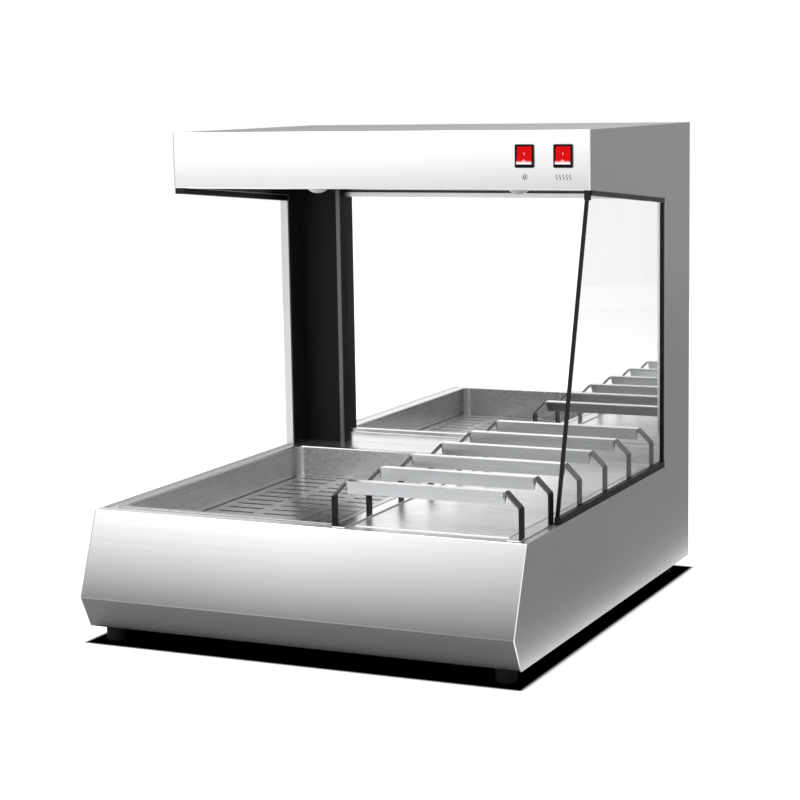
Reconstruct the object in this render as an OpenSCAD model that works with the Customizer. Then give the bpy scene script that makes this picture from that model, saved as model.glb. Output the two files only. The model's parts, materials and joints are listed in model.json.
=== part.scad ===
// Countertop chip warmer: a heated base with a lift-out pan and a lift-out box rack,
// a mirrored back wall, and a hood that holds radiant heater tubes and lamps.
// X runs left to right seen from the front, Y runs to the back, Z runs up.
// The origin is the middle of the footprint, on the surface under the feet.

/* [Body] */
// Width over the two side panels
body_w = 590; // [570:5:630]
// Half of the overall depth, from the middle to the crease and to the back
half_d = 339; // [335:1:350]
// Overall height with the feet
total_h = 638; // [620:1:680]
// Height of the deck above the table
deck_z = 167.5; // [160:0.5:175]
// Height of the crease in the front panel
crease_z = 61.5; // [50:0.5:75]
// How far the top edge of the front panel leans back from the crease
front_lean = 42; // [30:1:50]
// How far the bottom edge of the front panel tucks in from the crease
toe_tuck = 21; // [12:1:28]
// Thickness of the sheet metal
sheet = 1.5; // [1.2:0.1:1.8]
// Depth of the double-skinned side panels
side_t = 12; // [11:0.5:14]

/* [Hood] */
// Front face of the hood
hood_y = -75; // [-85:1:-65]
// Underside of the hood sides at the front
hood_front_z = 564; // [560:1:568]
// Underside of the hood sides at the column
hood_rear_z = 538; // [534:1:542]
// Front edge of the column
column_y = 226; // [220:1:230]
// Underside of the flat hood ceiling
ceiling_z = 566; // [565:0.5:568]
// Distance of each lamp from the middle
lamp_x = 148; // [128:1:150]
// Radius of a lamp globe
globe_r = 19; // [17:0.5:20]
// Length of a heater tube
tube_len = 400; // [380:5:420]

/* [Back wall] */
// Front face of the mirror
mirror_y = 290; // [288:1:294]
// Height of the stepped rail at the foot of the mirror
rail_h = 19; // [16:1:22]
// Right edge of the wiring duct in the left rear corner
duct_x = -219; // [-224:1:-214]
// Front face of the wiring duct
duct_y = 270; // [268:1:274]

/* [Pan] */
// Depth of the pan below the deck
pan_depth = 62; // [50:1:70]
// Right edge of the pan's opening in the deck
pan_right_x = 30; // [24:1:31]
// Number of slots along each row of the drain grate
grate_slots = 17; // [12:1:18]

/* [Rack] */
// Number of arches
arch_count = 6; // [6:1:6]
// Distance between arches
arch_pitch = 95.9; // [90:0.1:96.5]
// Middle of the first arch
arch_first_y = -287; // [-289:0.5:-284]
// Height of the top of an arch
arch_top_z = 226; // [220:1:235]
// Width of the arch strip
strip_w = 14; // [12:0.5:16]
// Thickness of the arch strip
strip_t = 2; // [1.5:0.1:2]

/* [Switches] */
// Middle of the light switch
light_x = 209; // [205:1:211]
// Middle of the heat switch
heat_x = 260; // [257:1:262]
// Height of the switches
switch_z = 606; // [604:1:608]
// Angle of a rocker either side of its middle
rock_angle = 8; // [6:0.5:9]

/* [Feet] */
// Height of a foot
foot_h = 20; // [18:1:22]
// Radius of a foot
foot_r = 13; // [12:0.5:14]

/* [Hidden] */
$fn = 64;
half_w = body_w / 2;
inner_x = half_w - side_t;
skin_x = half_w - sheet;
crease_y = -half_d;
lip_y = crease_y + front_lean;
toe_y = crease_y + toe_tuck;
deck_front_y = lip_y + 14;
back_y = half_d - 2;
back_in_y = back_y - sheet;
thin = 1.2;
liner_x = inner_x - thin;
lift_gap = 0.3;
mirror_t = 4;
// How far a cutting shape runs past the face that it cuts
over = 9;
// Widths of the folded edges of the shell pieces
hood_lip = 14;
hood_flange = 20;
hood_side_turn = 8;
bottom_turn = 20;
deck_turn = 20;

// Seat of the glass
glass_x = 288;
glass_t = 3;
glass_rear_y = 223.5;
glass_low_y = -185;
glass_high_y = -70;
channel_x = 287;
channel_h = 9;
top_channel_h = 6;
glass_gap = 0.1;
glass_low_z = deck_z + 2;
trim_w = 5;
trim_lead = 1.5;
trim_in = 0.5;
trim_wall = 0.6;
block_wall = 1.5;
edge_trim_h = 7.5;
edge_trim_back = 2;
bead_w = 6;
bead_t = 2;
seal_lap = 3.5;
corner_rear_y = glass_high_y + 5;

// Deck openings
pan_left_x = -270;
pan_front_y = -270;
pan_rear_y = 212;
floor_x0 = 64;
floor_x1 = 264;
floor_lap = 6;
floor_front_y = -276;
floor_rear_y = 218;

// Pan
pan_gap = 1.5;
pan_t = 1.2;
rim_w = 9.5;
rim_z = deck_z + lift_gap;
pan_floor_z = deck_z - pan_depth;
grate_z = pan_floor_z + 18;
mat_t = 4;
mat_drop = 10;

// Rack
rack_left_x = 41;
rack_right_x = 285.5;
bend = 19;
rail_w = 17;
rack_z = deck_z + lift_gap;
rail_top_z = rack_z + sheet;
flange_h = 8.2;
flange_cut = 2;

// Hood inside
lamp_y = 60;
globe_z = 570;
tube_ys = [-15, 135];
tube_z = 592;
tube_r = 6;
trough_top_z = tube_z + 18;
heater_slot = [430, 52];
lamp_hole_r = 28;
neck_z = 27;
cap_r = 7;
cap_h = 20;
guard_pitch = 25;
guard_t = 2;
wire_r = 4;
wire_x = -250;
wire_y = 278;
wire_hole_r = 8;
terminal_h = 18;

// Switches
bezel_w = 25;
bezel_h = 29;
bezel_t = 2;
rocker_w = 19.5;
rocker_h = 22;
side_gap = 0.5;
swing_gap = 1.5;
cut_w = 22.5;
cut_h = 27;
switch_depth = 28;
pivot_y = hood_y + 5;
pivot_r = 1.25;
pivot_play = 0.05;
box_play = 0.1;

// Inlet at the back of the base
inlet_x = -200;
inlet_z = 72;
inlet_w = 64;
inlet_h = 52;
inlet_depth = 24;
gland_bore_r = 4;
gland_hole_r = 8;

// Feet and screws
foot_x = 268;
foot_front_y = -298;
foot_rear_y = 298;
stud_r = 3;
stud_hole_r = 3.25;
well_h = 8;
screw_r = 2;
screw_hole_r = 2.1;
head_h = 1.8;
screw_zs = [60, 195, 330, 465, 600];
screw_x = half_w - 7;

// Air slots in the back panel
vent_len = 70;
vent_w = 5;
vent_pitch_x = 90;
vent_pitch_z = 14;
hood_vent_z = 565;
base_vent_z = 55;

// Closed outline of the side, as [y, z], starting at the top of the front panel.
side_outline = [
    [lip_y, deck_z], [crease_y, crease_z], [toe_y, foot_h], [half_d, foot_h],
    [half_d, total_h], [hood_y, total_h], [hood_y, hood_front_z],
    [column_y, hood_rear_z], [column_y, deck_z]
];

// ---- Shared shapes ----

function unit(v) = v / norm(v);
function left_of(v) = [-v[1], v[0]];
function moved_corner(a, b, c, t) =
    let (n1 = left_of(unit(b - a)), n2 = left_of(unit(c - b)))
    b + (n1 + n2) * t / (1 + n1 * n2);
// The same closed outline, moved in by t on every edge.
function inset(pts, t) = let (n = len(pts)) [
    for (i = [0 : n - 1]) moved_corner(pts[(i + n - 1) % n], pts[i], pts[(i + 1) % n], t)
];
// Height of the sloping underside of the hood sides at depth y.
function hood_under_z(y) =
    hood_front_z + (hood_rear_z - hood_front_z) * (y - hood_y) / (column_y - hood_y);
// Depth of the leaning front edge of the glass at height z.
function glass_edge_y(z) = glass_low_y
    + (glass_high_y - glass_low_y) * (z - deck_z) / (hood_under_z(glass_high_y) - deck_z);

corner_low_z = hood_under_z(glass_high_y) - 12;

// Extrudes a [y, z] outline from x0 to x1.
module across(x0, x1) {
    translate([x0, 0, 0]) rotate([90, 0, 90]) linear_extrude(x1 - x0) children();
}

// A block given by its two far corners.
module block(a, b) {
    translate(a) cube(b - a);
}

// The one-sheet-thick wall just inside the side outline.
module skin() {
    difference() {
        polygon(side_outline);
        polygon(inset(side_outline, sheet));
    }
}

// The part of a 2D shape inside a [y, z] rectangle.
module within(a, b) {
    intersection() {
        children();
        translate(a) square(b - a);
    }
}

// A ball just larger than a wire of radius r, which joins two straight runs of it.
module wire_ball(r) {
    sphere(r = r + 0.3, $fn = 24);
}

// A round wire between two points, with a ball at its far end.
module wire_run(a, b, r) {
    v = b - a;
    tilt = acos(v[2] / norm(v));
    turn = atan2(v[1], v[0]);
    translate(a) rotate([0, tilt, turn]) cylinder(h = norm(v), r = r, $fn = 24);
    translate(b) wire_ball(r);
}

// A slot with round ends, cut along Y, long in X.
module slot_along_y(length, width, depth) {
    reach = (length - width) / 2;
    for (x = [-reach, reach])
        translate([x, 0, 0]) rotate([-90, 0, 0]) cylinder(h = depth, d = width, $fn = 24);
    translate([-reach, 0, -width / 2]) cube([2 * reach, depth, width]);
}

// ---- Casing ----

module front_sheet() {
    within([crease_y - over, foot_h - over], [deck_front_y, deck_z + over]) skin();
}

module hood_sheet() {
    far = [half_d + over, total_h + over];
    within([hood_y - over, hood_front_z - over], [hood_y + hood_lip, far[1]]) skin();
    within([hood_y - over, total_h - hood_side_turn], far) skin();
    within([back_y, total_h - hood_flange], far) skin();
}

module bottom_sheet() {
    within([deck_front_y, foot_h - over], [half_d + over, foot_h + bottom_turn]) skin();
}

module back_sheet() {
    within([back_y, foot_h - over], [half_d + over, total_h + over]) skin();
}

module base_front_panel() {
    color("lightgray") difference() {
        across(-skin_x, skin_x) front_sheet();
        foot_holes();
    }
}

module base_bottom() {
    color("gray") difference() {
        across(-skin_x, skin_x) bottom_sheet();
        foot_holes();
    }
}

// A clearance hole for a back panel screw, cut both ways from its middle.
module screw_hole() {
    rotate([90, 0, 0]) cylinder(h = over, r = screw_hole_r, center = true);
}

// One side: an outer sheet with its edges turned in, and a rear flange for the back panel.
module side_panel() {
    flange_y = back_in_y - sheet;
    across(skin_x, half_w) polygon(side_outline);
    across(inner_x, skin_x) difference() {
        skin();
        front_sheet();
        hood_sheet();
        bottom_sheet();
        back_sheet();
    }
    difference() {
        block([inner_x, flange_y, foot_h + 2 * sheet], [skin_x, back_in_y, total_h - 2 * sheet]);
        for (z = screw_zs)
            translate([screw_x, back_in_y, z]) screw_hole();
    }
}

module left_side_panel() {
    color("silver") mirror([1, 0, 0]) side_panel();
}

module right_side_panel() {
    color("silver") side_panel();
}

// Rows of air slots in the back panel, the lowest row at height z0.
module vent_rows(z0, rows, columns) {
    for (row = [0 : rows - 1], column = [0 : columns - 1])
        translate([(column - (columns - 1) / 2) * vent_pitch_x, back_in_y - 1, z0 + row * vent_pitch_z])
            slot_along_y(vent_len, vent_w, sheet + 2);
}

module back_panel() {
    color("silver") difference() {
        block([-skin_x, back_in_y, foot_h + sheet], [skin_x, back_y, total_h - sheet]);
        vent_rows(hood_vent_z, 4, 5);
        translate([vent_pitch_x, 0, 0]) vent_rows(base_vent_z, 4, 3);
        for (side = [-1, 1], z = screw_zs)
            translate([side * screw_x, back_y, z]) screw_hole();
        translate([inlet_x, back_y, inlet_z]) cube([inlet_w, over, inlet_h], center = true);
    }
}

module hood_cover() {
    color("gainsboro") difference() {
        across(-skin_x, skin_x) hood_sheet();
        for (x = [light_x, heat_x])
            translate([x, hood_y, switch_z]) cube([cut_w, over, cut_h], center = true);
    }
}

// Flat ceiling with openings for the heaters and lamps, turned down at the back.
module hood_ceiling() {
    front_y = hood_y + sheet;
    rear_y = mirror_y + thin;
    color("dimgray") difference() {
        union() {
            block([-liner_x, front_y, ceiling_z], [liner_x, rear_y, ceiling_z + thin]);
            block([-liner_x, mirror_y, mirror_top_z() + 1], [liner_x, rear_y, ceiling_z]);
        }
        for (y = tube_ys)
            translate([0, y, ceiling_z]) cube([heater_slot[0], heater_slot[1], over], center = true);
        for (x = [-lamp_x, lamp_x])
            translate([x, lamp_y, ceiling_z]) cylinder(h = over, r = lamp_hole_r, center = true);
        translate([wire_x, wire_y, ceiling_z]) cylinder(h = over, r = wire_hole_r, center = true);
    }
}

// Inner skin of a side above the deck: the column and the hood cheek.
module liner_outline() {
    within([hood_y + sheet, deck_z], [back_in_y - sheet, total_h - 4 * sheet])
        polygon(inset(side_outline, sheet));
}

module left_liner() {
    color([0.06, 0.06, 0.06]) across(-inner_x, -liner_x) liner_outline();
}

module right_liner() {
    color("silver") across(liner_x, inner_x) liner_outline();
}

// Black strip that covers the lower edges of the open side of the hood.
module left_edge_trim() {
    y0 = hood_y + edge_trim_back;
    color([0.05, 0.05, 0.05]) across(-half_w, -liner_x) polygon([
        [y0, hood_under_z(y0) - edge_trim_h], [column_y, hood_under_z(column_y) - edge_trim_h],
        [column_y, hood_under_z(column_y)], [y0, hood_under_z(y0)]
    ]);
}

// ---- Back wall ----

function mirror_top_z() = hood_rear_z + 1.5;

module mirror_glass() {
    color("white") block([-liner_x, mirror_y, deck_z + 2], [liner_x, mirror_y + mirror_t, mirror_top_z()]);
}

module mirror_foot_rail() {
    top_z = deck_z + rail_h;
    step_z = top_z - 5;
    step_y = mirror_y - 5;
    front_y = mirror_y - 8;
    color("silver") across(duct_x, liner_x) polygon([
        [front_y, deck_z], [front_y, step_z], [step_y, step_z],
        [step_y, top_z], [mirror_y, top_z], [mirror_y, deck_z]
    ]);
}

module mirror_top_trim() {
    low_z = mirror_top_z() - 6;
    color("lightgray") block([duct_x, mirror_y - 4, low_z], [liner_x, mirror_y, mirror_top_z() + 1]);
}

// Sheet-metal cover over the wires in the left rear corner.
module wiring_duct() {
    color([0.05, 0.05, 0.05]) {
        block([-liner_x, duct_y, deck_z], [duct_x, duct_y + thin, ceiling_z]);
        block([duct_x - thin, duct_y + thin, deck_z], [duct_x, mirror_y, ceiling_z]);
    }
}

module duct_bead() {
    color("darkgray") block([duct_x - bead_w, duct_y - bead_t, deck_z], [duct_x, duct_y, ceiling_z]);
}

// ---- Deck ----

module deck_frame() {
    rear_y = mirror_y - 1;
    low_z = deck_z - over;
    high_z = deck_z + over;
    color("silver") difference() {
        union() {
            block([-inner_x, deck_front_y, deck_z - sheet], [inner_x, rear_y, deck_z]);
            block([-inner_x, rear_y - sheet, deck_z - deck_turn], [inner_x, rear_y, deck_z - sheet]);
        }
        block([pan_left_x, pan_front_y, low_z], [pan_right_x, pan_rear_y, high_z]);
        block([floor_x0 + floor_lap, floor_front_y + floor_lap, low_z],
            [floor_x1 - floor_lap, floor_rear_y - floor_lap, high_z]);
        translate([wire_x, wire_y, low_z]) cylinder(h = 2 * over, r = wire_hole_r);
    }
}

module rack_floor() {
    color("whitesmoke") block([floor_x0, floor_front_y, deck_z], [floor_x1, floor_rear_y, deck_z + thin]);
}

module floor_heater() {
    edge_x = 12;
    edge_y = 20;
    color("tan") block([floor_x0 + edge_x, floor_front_y + edge_y, deck_z - mat_t],
        [floor_x1 - edge_x, floor_rear_y - edge_y, deck_z]);
}

module pan_heater() {
    edge_y = 35;
    low_z = pan_floor_z - mat_drop;
    color("tan") block([pan_left_x + 30, pan_front_y + edge_y, low_z],
        [pan_right_x - 20, pan_rear_y - edge_y, low_z + mat_t]);
}

// Two cross rails that carry the heater under the pan.
module heater_rails() {
    rail_ys = [-150, 95];
    size = [40, 14];
    low_z = pan_floor_z - mat_drop - size[1];
    color("gray") for (y = rail_ys)
        across(-inner_x, inner_x) difference() {
            translate([y - size[0] / 2, low_z]) square(size);
            translate([y - size[0] / 2 + sheet, low_z - over])
                square([size[0] - 2 * sheet, size[1] - sheet + over]);
        }
}

// ---- Lift-out pan ----

module fry_pan() {
    x0 = pan_left_x + pan_gap;
    x1 = pan_right_x - pan_gap;
    y0 = pan_front_y + pan_gap;
    y1 = pan_rear_y - pan_gap;
    color("silver") {
        difference() {
            block([x0, y0, pan_floor_z], [x1, y1, rim_z]);
            block([x0 + pan_t, y0 + pan_t, pan_floor_z + pan_t], [x1 - pan_t, y1 - pan_t, rim_z + over]);
        }
        difference() {
            block([x0 - rim_w, y0 - rim_w, rim_z], [x1 + rim_w, y1 + rim_w, rim_z + pan_t]);
            block([x0 + pan_t, y0 + pan_t, rim_z - over], [x1 - pan_t, y1 - pan_t, rim_z + over]);
        }
    }
}

// Slotted tray that keeps the chips off the pan floor.
module drain_grate() {
    inset_by = pan_gap + pan_t + 2;
    x0 = pan_left_x + inset_by;
    x1 = pan_right_x - inset_by;
    y0 = pan_front_y + inset_by;
    y1 = pan_rear_y - inset_by;
    foot_z = pan_floor_z + pan_t + lift_gap;
    margin = 15;
    pitch_x = 70;
    pitch_y = (y1 - y0 - 2 * margin) / (grate_slots - 1);
    color("gray") difference() {
        block([x0, y0, foot_z], [x1, y1, grate_z]);
        block([x0 + thin, y0 + thin, foot_z - over], [x1 - thin, y1 - thin, grate_z - thin]);
        for (column = [-1.5 : 1.5], row = [0 : grate_slots - 1])
            translate([(x0 + x1) / 2 + column * pitch_x, y0 + margin + row * pitch_y, grate_z - over / 2])
                rotate([90, 0, 0]) slot_along_y(56, 7, over);
    }
}

// ---- Lift-out rack ----

// Outline of an arch in [x, z], moved in by t, with both top corners cut at 45 degrees.
module arch_outline(t) {
    x0 = rack_left_x + t;
    x1 = rack_right_x - t;
    cut = bend - t * (1 - tan(22.5));
    top_z = arch_top_z - t;
    polygon([
        [x0, rail_top_z], [x0, top_z - cut], [x0 + cut, top_z],
        [x1 - cut, top_z], [x1, top_z - cut], [x1, rail_top_z]
    ]);
}

// One bent strip that spans the boxes, with a turned-down front edge.
module divider(index) {
    y0 = arch_first_y + index * arch_pitch - strip_w / 2;
    flange_x0 = rack_left_x + bend + flange_cut;
    flange_x1 = rack_right_x - bend - flange_cut;
    color("lightgray") {
        translate([0, y0 + strip_w, 0]) rotate([90, 0, 0]) linear_extrude(strip_w) difference() {
            arch_outline(0);
            arch_outline(strip_t);
        }
        block([flange_x0, y0, arch_top_z - flange_h], [flange_x1, y0 + strip_t, arch_top_z - strip_t / 2]);
    }
}

module rack_rails() {
    y0 = arch_first_y - strip_w / 2;
    y1 = arch_first_y + (arch_count - 1) * arch_pitch + strip_w / 2;
    color("silver") for (x = [rack_left_x, rack_right_x - rail_w])
        block([x, y0, rack_z], [x + rail_w, y1, rail_top_z]);
}

// ---- Hood fittings ----

module heater_tubes() {
    color("mistyrose") for (y = tube_ys)
        translate([-tube_len / 2, y, tube_z]) rotate([0, 90, 0]) cylinder(h = tube_len, r = tube_r);
}

// Ceramic blocks that hold the ends of the tubes.
module tube_holders() {
    half = [8, 11];
    low_z = tube_z - half[1];
    high_z = trough_top_z - thin;
    color("ivory") for (y = tube_ys, x = [2 - tube_len / 2, tube_len / 2 - 2])
        difference() {
            block([x - half[0], y - half[1], low_z], [x + half[0], y + half[1], high_z]);
            translate([0, y, tube_z]) rotate([0, 90, 0]) cylinder(h = tube_len, r = tube_r, center = true);
        }
}

// Folded troughs over the tubes, open towards the bay.
module tube_reflectors() {
    half_len = tube_len / 2 + 12;
    low_z = ceiling_z + thin;
    flare = heater_slot[1] / 2 + 2;
    crown = 14;
    color("silver") for (y = tube_ys)
        across(-half_len, half_len) translate([y, 0]) difference() {
            polygon([[-flare, low_z], [-crown, trough_top_z], [crown, trough_top_z], [flare, low_z]]);
            polygon([
                [thin - flare, low_z - 0.1], [thin - crown, trough_top_z - thin],
                [crown - thin, trough_top_z - thin], [flare - thin, low_z - 0.1]
            ]);
        }
}

// Wire guards under the two ceiling openings.
module tube_guards() {
    lap = 4;
    reach = heater_slot[1] / 2 + lap;
    half = heater_slot[0] / 2 + lap;
    wires = floor(half / guard_pitch);
    low_z = ceiling_z - guard_t;
    r = guard_t / 2;
    color("silver") for (y = tube_ys) {
        for (x = [-wires * guard_pitch : guard_pitch : wires * guard_pitch])
            block([x - r, y - reach, low_z], [x + r, y + reach, ceiling_z]);
        for (side_y = [y - reach, y + reach])
            block([-half, side_y - r, low_z], [half, side_y + r, ceiling_z]);
        for (side_x = [-half, half])
            block([side_x - r, y - reach - r, low_z], [side_x + r, y + reach + r, ceiling_z]);
    }
}

// Round lamp: a globe that runs into a neck and a metal cap.
module bulb() {
    neck_r = 9;
    sphere(r = globe_r);
    cylinder(h = neck_z, r = neck_r);
    translate([0, 0, neck_z]) cylinder(h = cap_h, r = cap_r);
}

module left_bulb() {
    color("white") translate([-lamp_x, lamp_y, globe_z]) bulb();
}

module right_bulb() {
    color("white") translate([lamp_x, lamp_y, globe_z]) bulb();
}

// Ceramic socket, hung from the top of the hood.
module socket() {
    socket_r = 14;
    low_z = globe_z + neck_z + 1;
    top_z = total_h - sheet;
    color("ivory") difference() {
        translate([0, 0, low_z]) cylinder(h = top_z - low_z, r = socket_r);
        translate([0, 0, low_z - 1]) cylinder(h = cap_h + 2, r = cap_r + 0.1);
    }
}

module left_socket() {
    translate([-lamp_x, lamp_y, 0]) socket();
}

module right_socket() {
    translate([lamp_x, lamp_y, 0]) socket();
}

// ---- Glass side ----

module glass_solid(grow) {
    top_z = hood_under_z(glass_high_y) - 2;
    across(glass_x - grow, glass_x + glass_t + grow) polygon([
        [glass_edge_y(glass_low_z), glass_low_z], [glass_rear_y, glass_low_z],
        [glass_rear_y, hood_under_z(glass_rear_y) - 2], [glass_edge_y(top_z), top_z]
    ]);
}

module glass_pane() {
    color([0.8, 0.9, 0.9, 0.3]) glass_solid(0);
}

module glass_bottom_channel() {
    color([0.05, 0.05, 0.05]) difference() {
        block([channel_x, glass_low_y - 1, deck_z], [half_w, column_y, deck_z + channel_h]);
        glass_solid(glass_gap);
    }
}

module glass_top_channel() {
    y0 = corner_rear_y;
    color("dimgray") difference() {
        across(channel_x, half_w) polygon([
            [y0, hood_under_z(y0) - top_channel_h], [column_y, hood_under_z(column_y) - top_channel_h],
            [column_y, hood_under_z(column_y)], [y0, hood_under_z(y0)]
        ]);
        glass_solid(glass_gap);
    }
}

// Dark strip that caps the leaning front edge of the glass.
module glass_front_trim() {
    low_z = deck_z + channel_h;
    low_y = glass_edge_y(low_z) - trim_lead;
    high_y = glass_edge_y(corner_low_z) - trim_lead;
    color([0.05, 0.05, 0.05]) difference() {
        across(glass_x - trim_wall, glass_x + glass_t + trim_wall) polygon([
            [low_y, low_z], [low_y + trim_w, low_z],
            [high_y + trim_w, corner_low_z], [high_y, corner_low_z]
        ]);
        glass_solid(glass_gap);
    }
}

module glass_rear_seal() {
    low_z = deck_z + channel_h;
    high_z = hood_rear_z - top_channel_h;
    color([0.05, 0.05, 0.05]) difference() {
        block([channel_x + trim_in, glass_rear_y - seal_lap, low_z], [half_w - trim_in, column_y, high_z]);
        glass_solid(glass_gap);
    }
}

module glass_corner_block() {
    y0 = glass_high_y - 3;
    y1 = corner_rear_y;
    color([0.05, 0.05, 0.05]) difference() {
        across(channel_x - 1, glass_x + glass_t + block_wall) polygon([
            [y0, corner_low_z], [y1, corner_low_z], [y1, hood_under_z(y1)], [y0, hood_under_z(y0)]
        ]);
        glass_solid(glass_gap);
    }
}

// ---- Switches ----

// Housing of a rocker switch: a bezel, a box behind the panel and three tags.
module switch_body(x) {
    inner_w = rocker_w + 2 * side_gap;
    inner_h = rocker_h + 2 * swing_gap;
    box_w = cut_w - 2 * box_play;
    box_h = cut_h - 2 * box_play;
    well_y = hood_y + 14;
    tag = [6, 9, 0.8];
    color([0.08, 0.08, 0.08]) difference() {
        translate([x, hood_y, switch_z]) {
            translate([-bezel_w / 2, -bezel_t, -bezel_h / 2]) cube([bezel_w, bezel_t, bezel_h]);
            translate([-box_w / 2, 0, -box_h / 2]) cube([box_w, switch_depth, box_h]);
            for (z = [-8, 0, 8])
                translate([-tag[0] / 2, switch_depth - 1, z - tag[2] / 2]) cube(tag);
        }
        block([x - inner_w / 2, hood_y - bezel_t - over, switch_z - inner_h / 2],
            [x + inner_w / 2, well_y, switch_z + inner_h / 2]);
        translate([x, pivot_y, switch_z]) rotate([0, 90, 0])
            cylinder(h = cut_w + over, r = pivot_r, center = true);
    }
}

module light_switch_body() {
    switch_body(light_x);
}

module heat_switch_body() {
    switch_body(heat_x);
}

module switch_pin(x) {
    color("silver") translate([x, pivot_y, switch_z]) rotate([0, 90, 0])
        cylinder(h = cut_w - 2 * box_play, r = pivot_r, center = true);
}

module light_switch_pin() {
    switch_pin(light_x);
}

module heat_switch_pin() {
    switch_pin(heat_x);
}

// Rocker with two faces that meet in a shallow valley, drawn with its lower half pressed out.
module rocker(x) {
    reach = rocker_h / 2;
    valley_y = -6.5;
    end_y = valley_y - reach * tan(rock_angle);
    color([0.85, 0.05, 0.05]) translate([x, pivot_y, switch_z]) rotate([-rock_angle, 0, 0]) difference() {
        across(-rocker_w / 2, rocker_w / 2) polygon([
            [valley_y, 0], [end_y, reach], [-1, reach], [4, 4],
            [4, -4], [-1, -reach], [end_y, -reach]
        ]);
        rotate([0, 90, 0]) cylinder(h = rocker_w + over, r = pivot_r + pivot_play, center = true);
    }
}

module light_rocker() {
    rocker(light_x);
}

module heat_rocker() {
    rocker(heat_x);
}

// ---- Electrical parts in the base ----

module thermal_cutout() {
    height = 6;
    low_z = pan_floor_z - mat_drop - height;
    color("black") translate([-120, -20, low_z]) cylinder(h = height, r = 8);
}

module terminal_block() {
    size = [40, 20, terminal_h];
    well = [6, 8, 6];
    well_pitch = 12;
    color("ivory") translate([-262, 262, foot_h + sheet]) difference() {
        cube(size);
        for (i = [0 : 2])
            translate([5 + i * well_pitch, -0.1, well[2]]) cube(well);
    }
}

// Pressed pocket that keeps the cord gland inside the line of the back panel.
module inlet_cup() {
    x0 = inlet_x - inlet_w / 2;
    x1 = inlet_x + inlet_w / 2;
    z0 = inlet_z - inlet_h / 2;
    z1 = inlet_z + inlet_h / 2;
    floor_y = back_y - inlet_depth;
    brim = 8;
    color("silver") difference() {
        union() {
            block([x0 - brim, back_in_y - thin, z0 - brim], [x1 + brim, back_in_y, z1 + brim]);
            block([x0, floor_y - thin, z0], [x1, back_y, z1]);
        }
        block([x0 + thin, floor_y, z0 + thin], [x1 - thin, back_y + over, z1 - thin]);
        translate([inlet_x, floor_y, inlet_z]) rotate([90, 0, 0])
            cylinder(h = over, r = gland_hole_r, center = true);
    }
}

// Cord gland: a threaded body, a hexagon on each side of the cup and a domed cap.
module cord_gland() {
    floor_y = back_y - inlet_depth;
    hexagon_r = 12;
    hexagon_h = 5;
    cap_y = 18;
    dome_y = 21;
    inner_end = -12;
    color([0.08, 0.08, 0.08]) translate([inlet_x, floor_y, inlet_z]) rotate([-90, 0, 0]) difference() {
        union() {
            cylinder(h = hexagon_h, r = hexagon_r, $fn = 6);
            cylinder(h = cap_y, r = 9);
            translate([0, 0, cap_y]) cylinder(h = dome_y - cap_y, r1 = 9, r2 = 7);
            translate([0, 0, inner_end]) cylinder(h = 1 - inner_end, r = gland_hole_r);
            translate([0, 0, -thin - hexagon_h]) cylinder(h = hexagon_h, r = hexagon_r, $fn = 6);
        }
        translate([0, 0, inner_end - 1]) cylinder(h = dome_y - inner_end + 2, r = gland_bore_r);
    }
}

// Wires from the terminal block up the duct and over to the switches.
module wiring_loom() {
    base_z = foot_h + sheet + terminal_h + wire_r + 0.5;
    hood_z = switch_z - 6;
    front_y = hood_y + 20;
    points = [
        [wire_x, 272, base_z], [wire_x, wire_y, base_z + 20], [wire_x, wire_y, hood_z],
        [wire_x, front_y, hood_z], [light_x - 16, front_y, hood_z]
    ];
    color("black") {
        translate(points[0]) wire_ball(wire_r);
        for (i = [0 : len(points) - 2])
            wire_run(points[i], points[i + 1], wire_r);
    }
}

// ---- Feet and screws ----

module foot_places() {
    for (x = [-foot_x, foot_x], y = [foot_front_y, foot_rear_y])
        translate([x, y, 0]) children();
}

module foot_holes() {
    foot_places() translate([0, 0, foot_h - over]) cylinder(h = 2 * over, r = stud_hole_r);
}

// Rubber foot with a rounded lower edge and a well for its screw.
module foot() {
    edge_r = 3;
    well_r = 7;
    color([0.1, 0.1, 0.1]) rotate_extrude() difference() {
        union() {
            translate([0, edge_r]) square([foot_r, foot_h - edge_r]);
            square([foot_r - edge_r, foot_h]);
            translate([foot_r - edge_r, edge_r]) circle(r = edge_r, $fn = 32);
        }
        translate([-foot_r, -over]) square([foot_r + stud_hole_r, foot_h + 2 * over]);
        translate([0, -over]) square([well_r, over + well_h]);
    }
}

module foot_front_left() {
    translate([-foot_x, foot_front_y, 0]) foot();
}

module foot_front_right() {
    translate([foot_x, foot_front_y, 0]) foot();
}

module foot_rear_left() {
    translate([-foot_x, foot_rear_y, 0]) foot();
}

module foot_rear_right() {
    translate([foot_x, foot_rear_y, 0]) foot();
}

// Each foot's screw and its nut, as one solid.
module foot_screws() {
    color("silver") foot_places() {
        translate([0, 0, well_h - 4]) cylinder(h = 4, r = 5.5);
        translate([0, 0, well_h]) cylinder(h = foot_h - well_h + sheet + 9, r = stud_r);
        translate([0, 0, foot_h + sheet]) cylinder(h = 5, r = 5.8, $fn = 6);
    }
}

module back_screws() {
    color("silver") for (side = [-1, 1], z = screw_zs)
        translate([side * screw_x, back_y, z]) rotate([90, 0, 0]) {
            translate([0, 0, -head_h]) cylinder(h = head_h, r1 = 2.6, r2 = 3.8);
            cylinder(h = 9, r = screw_r);
        }
}

// ---- Drawing ----

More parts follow.
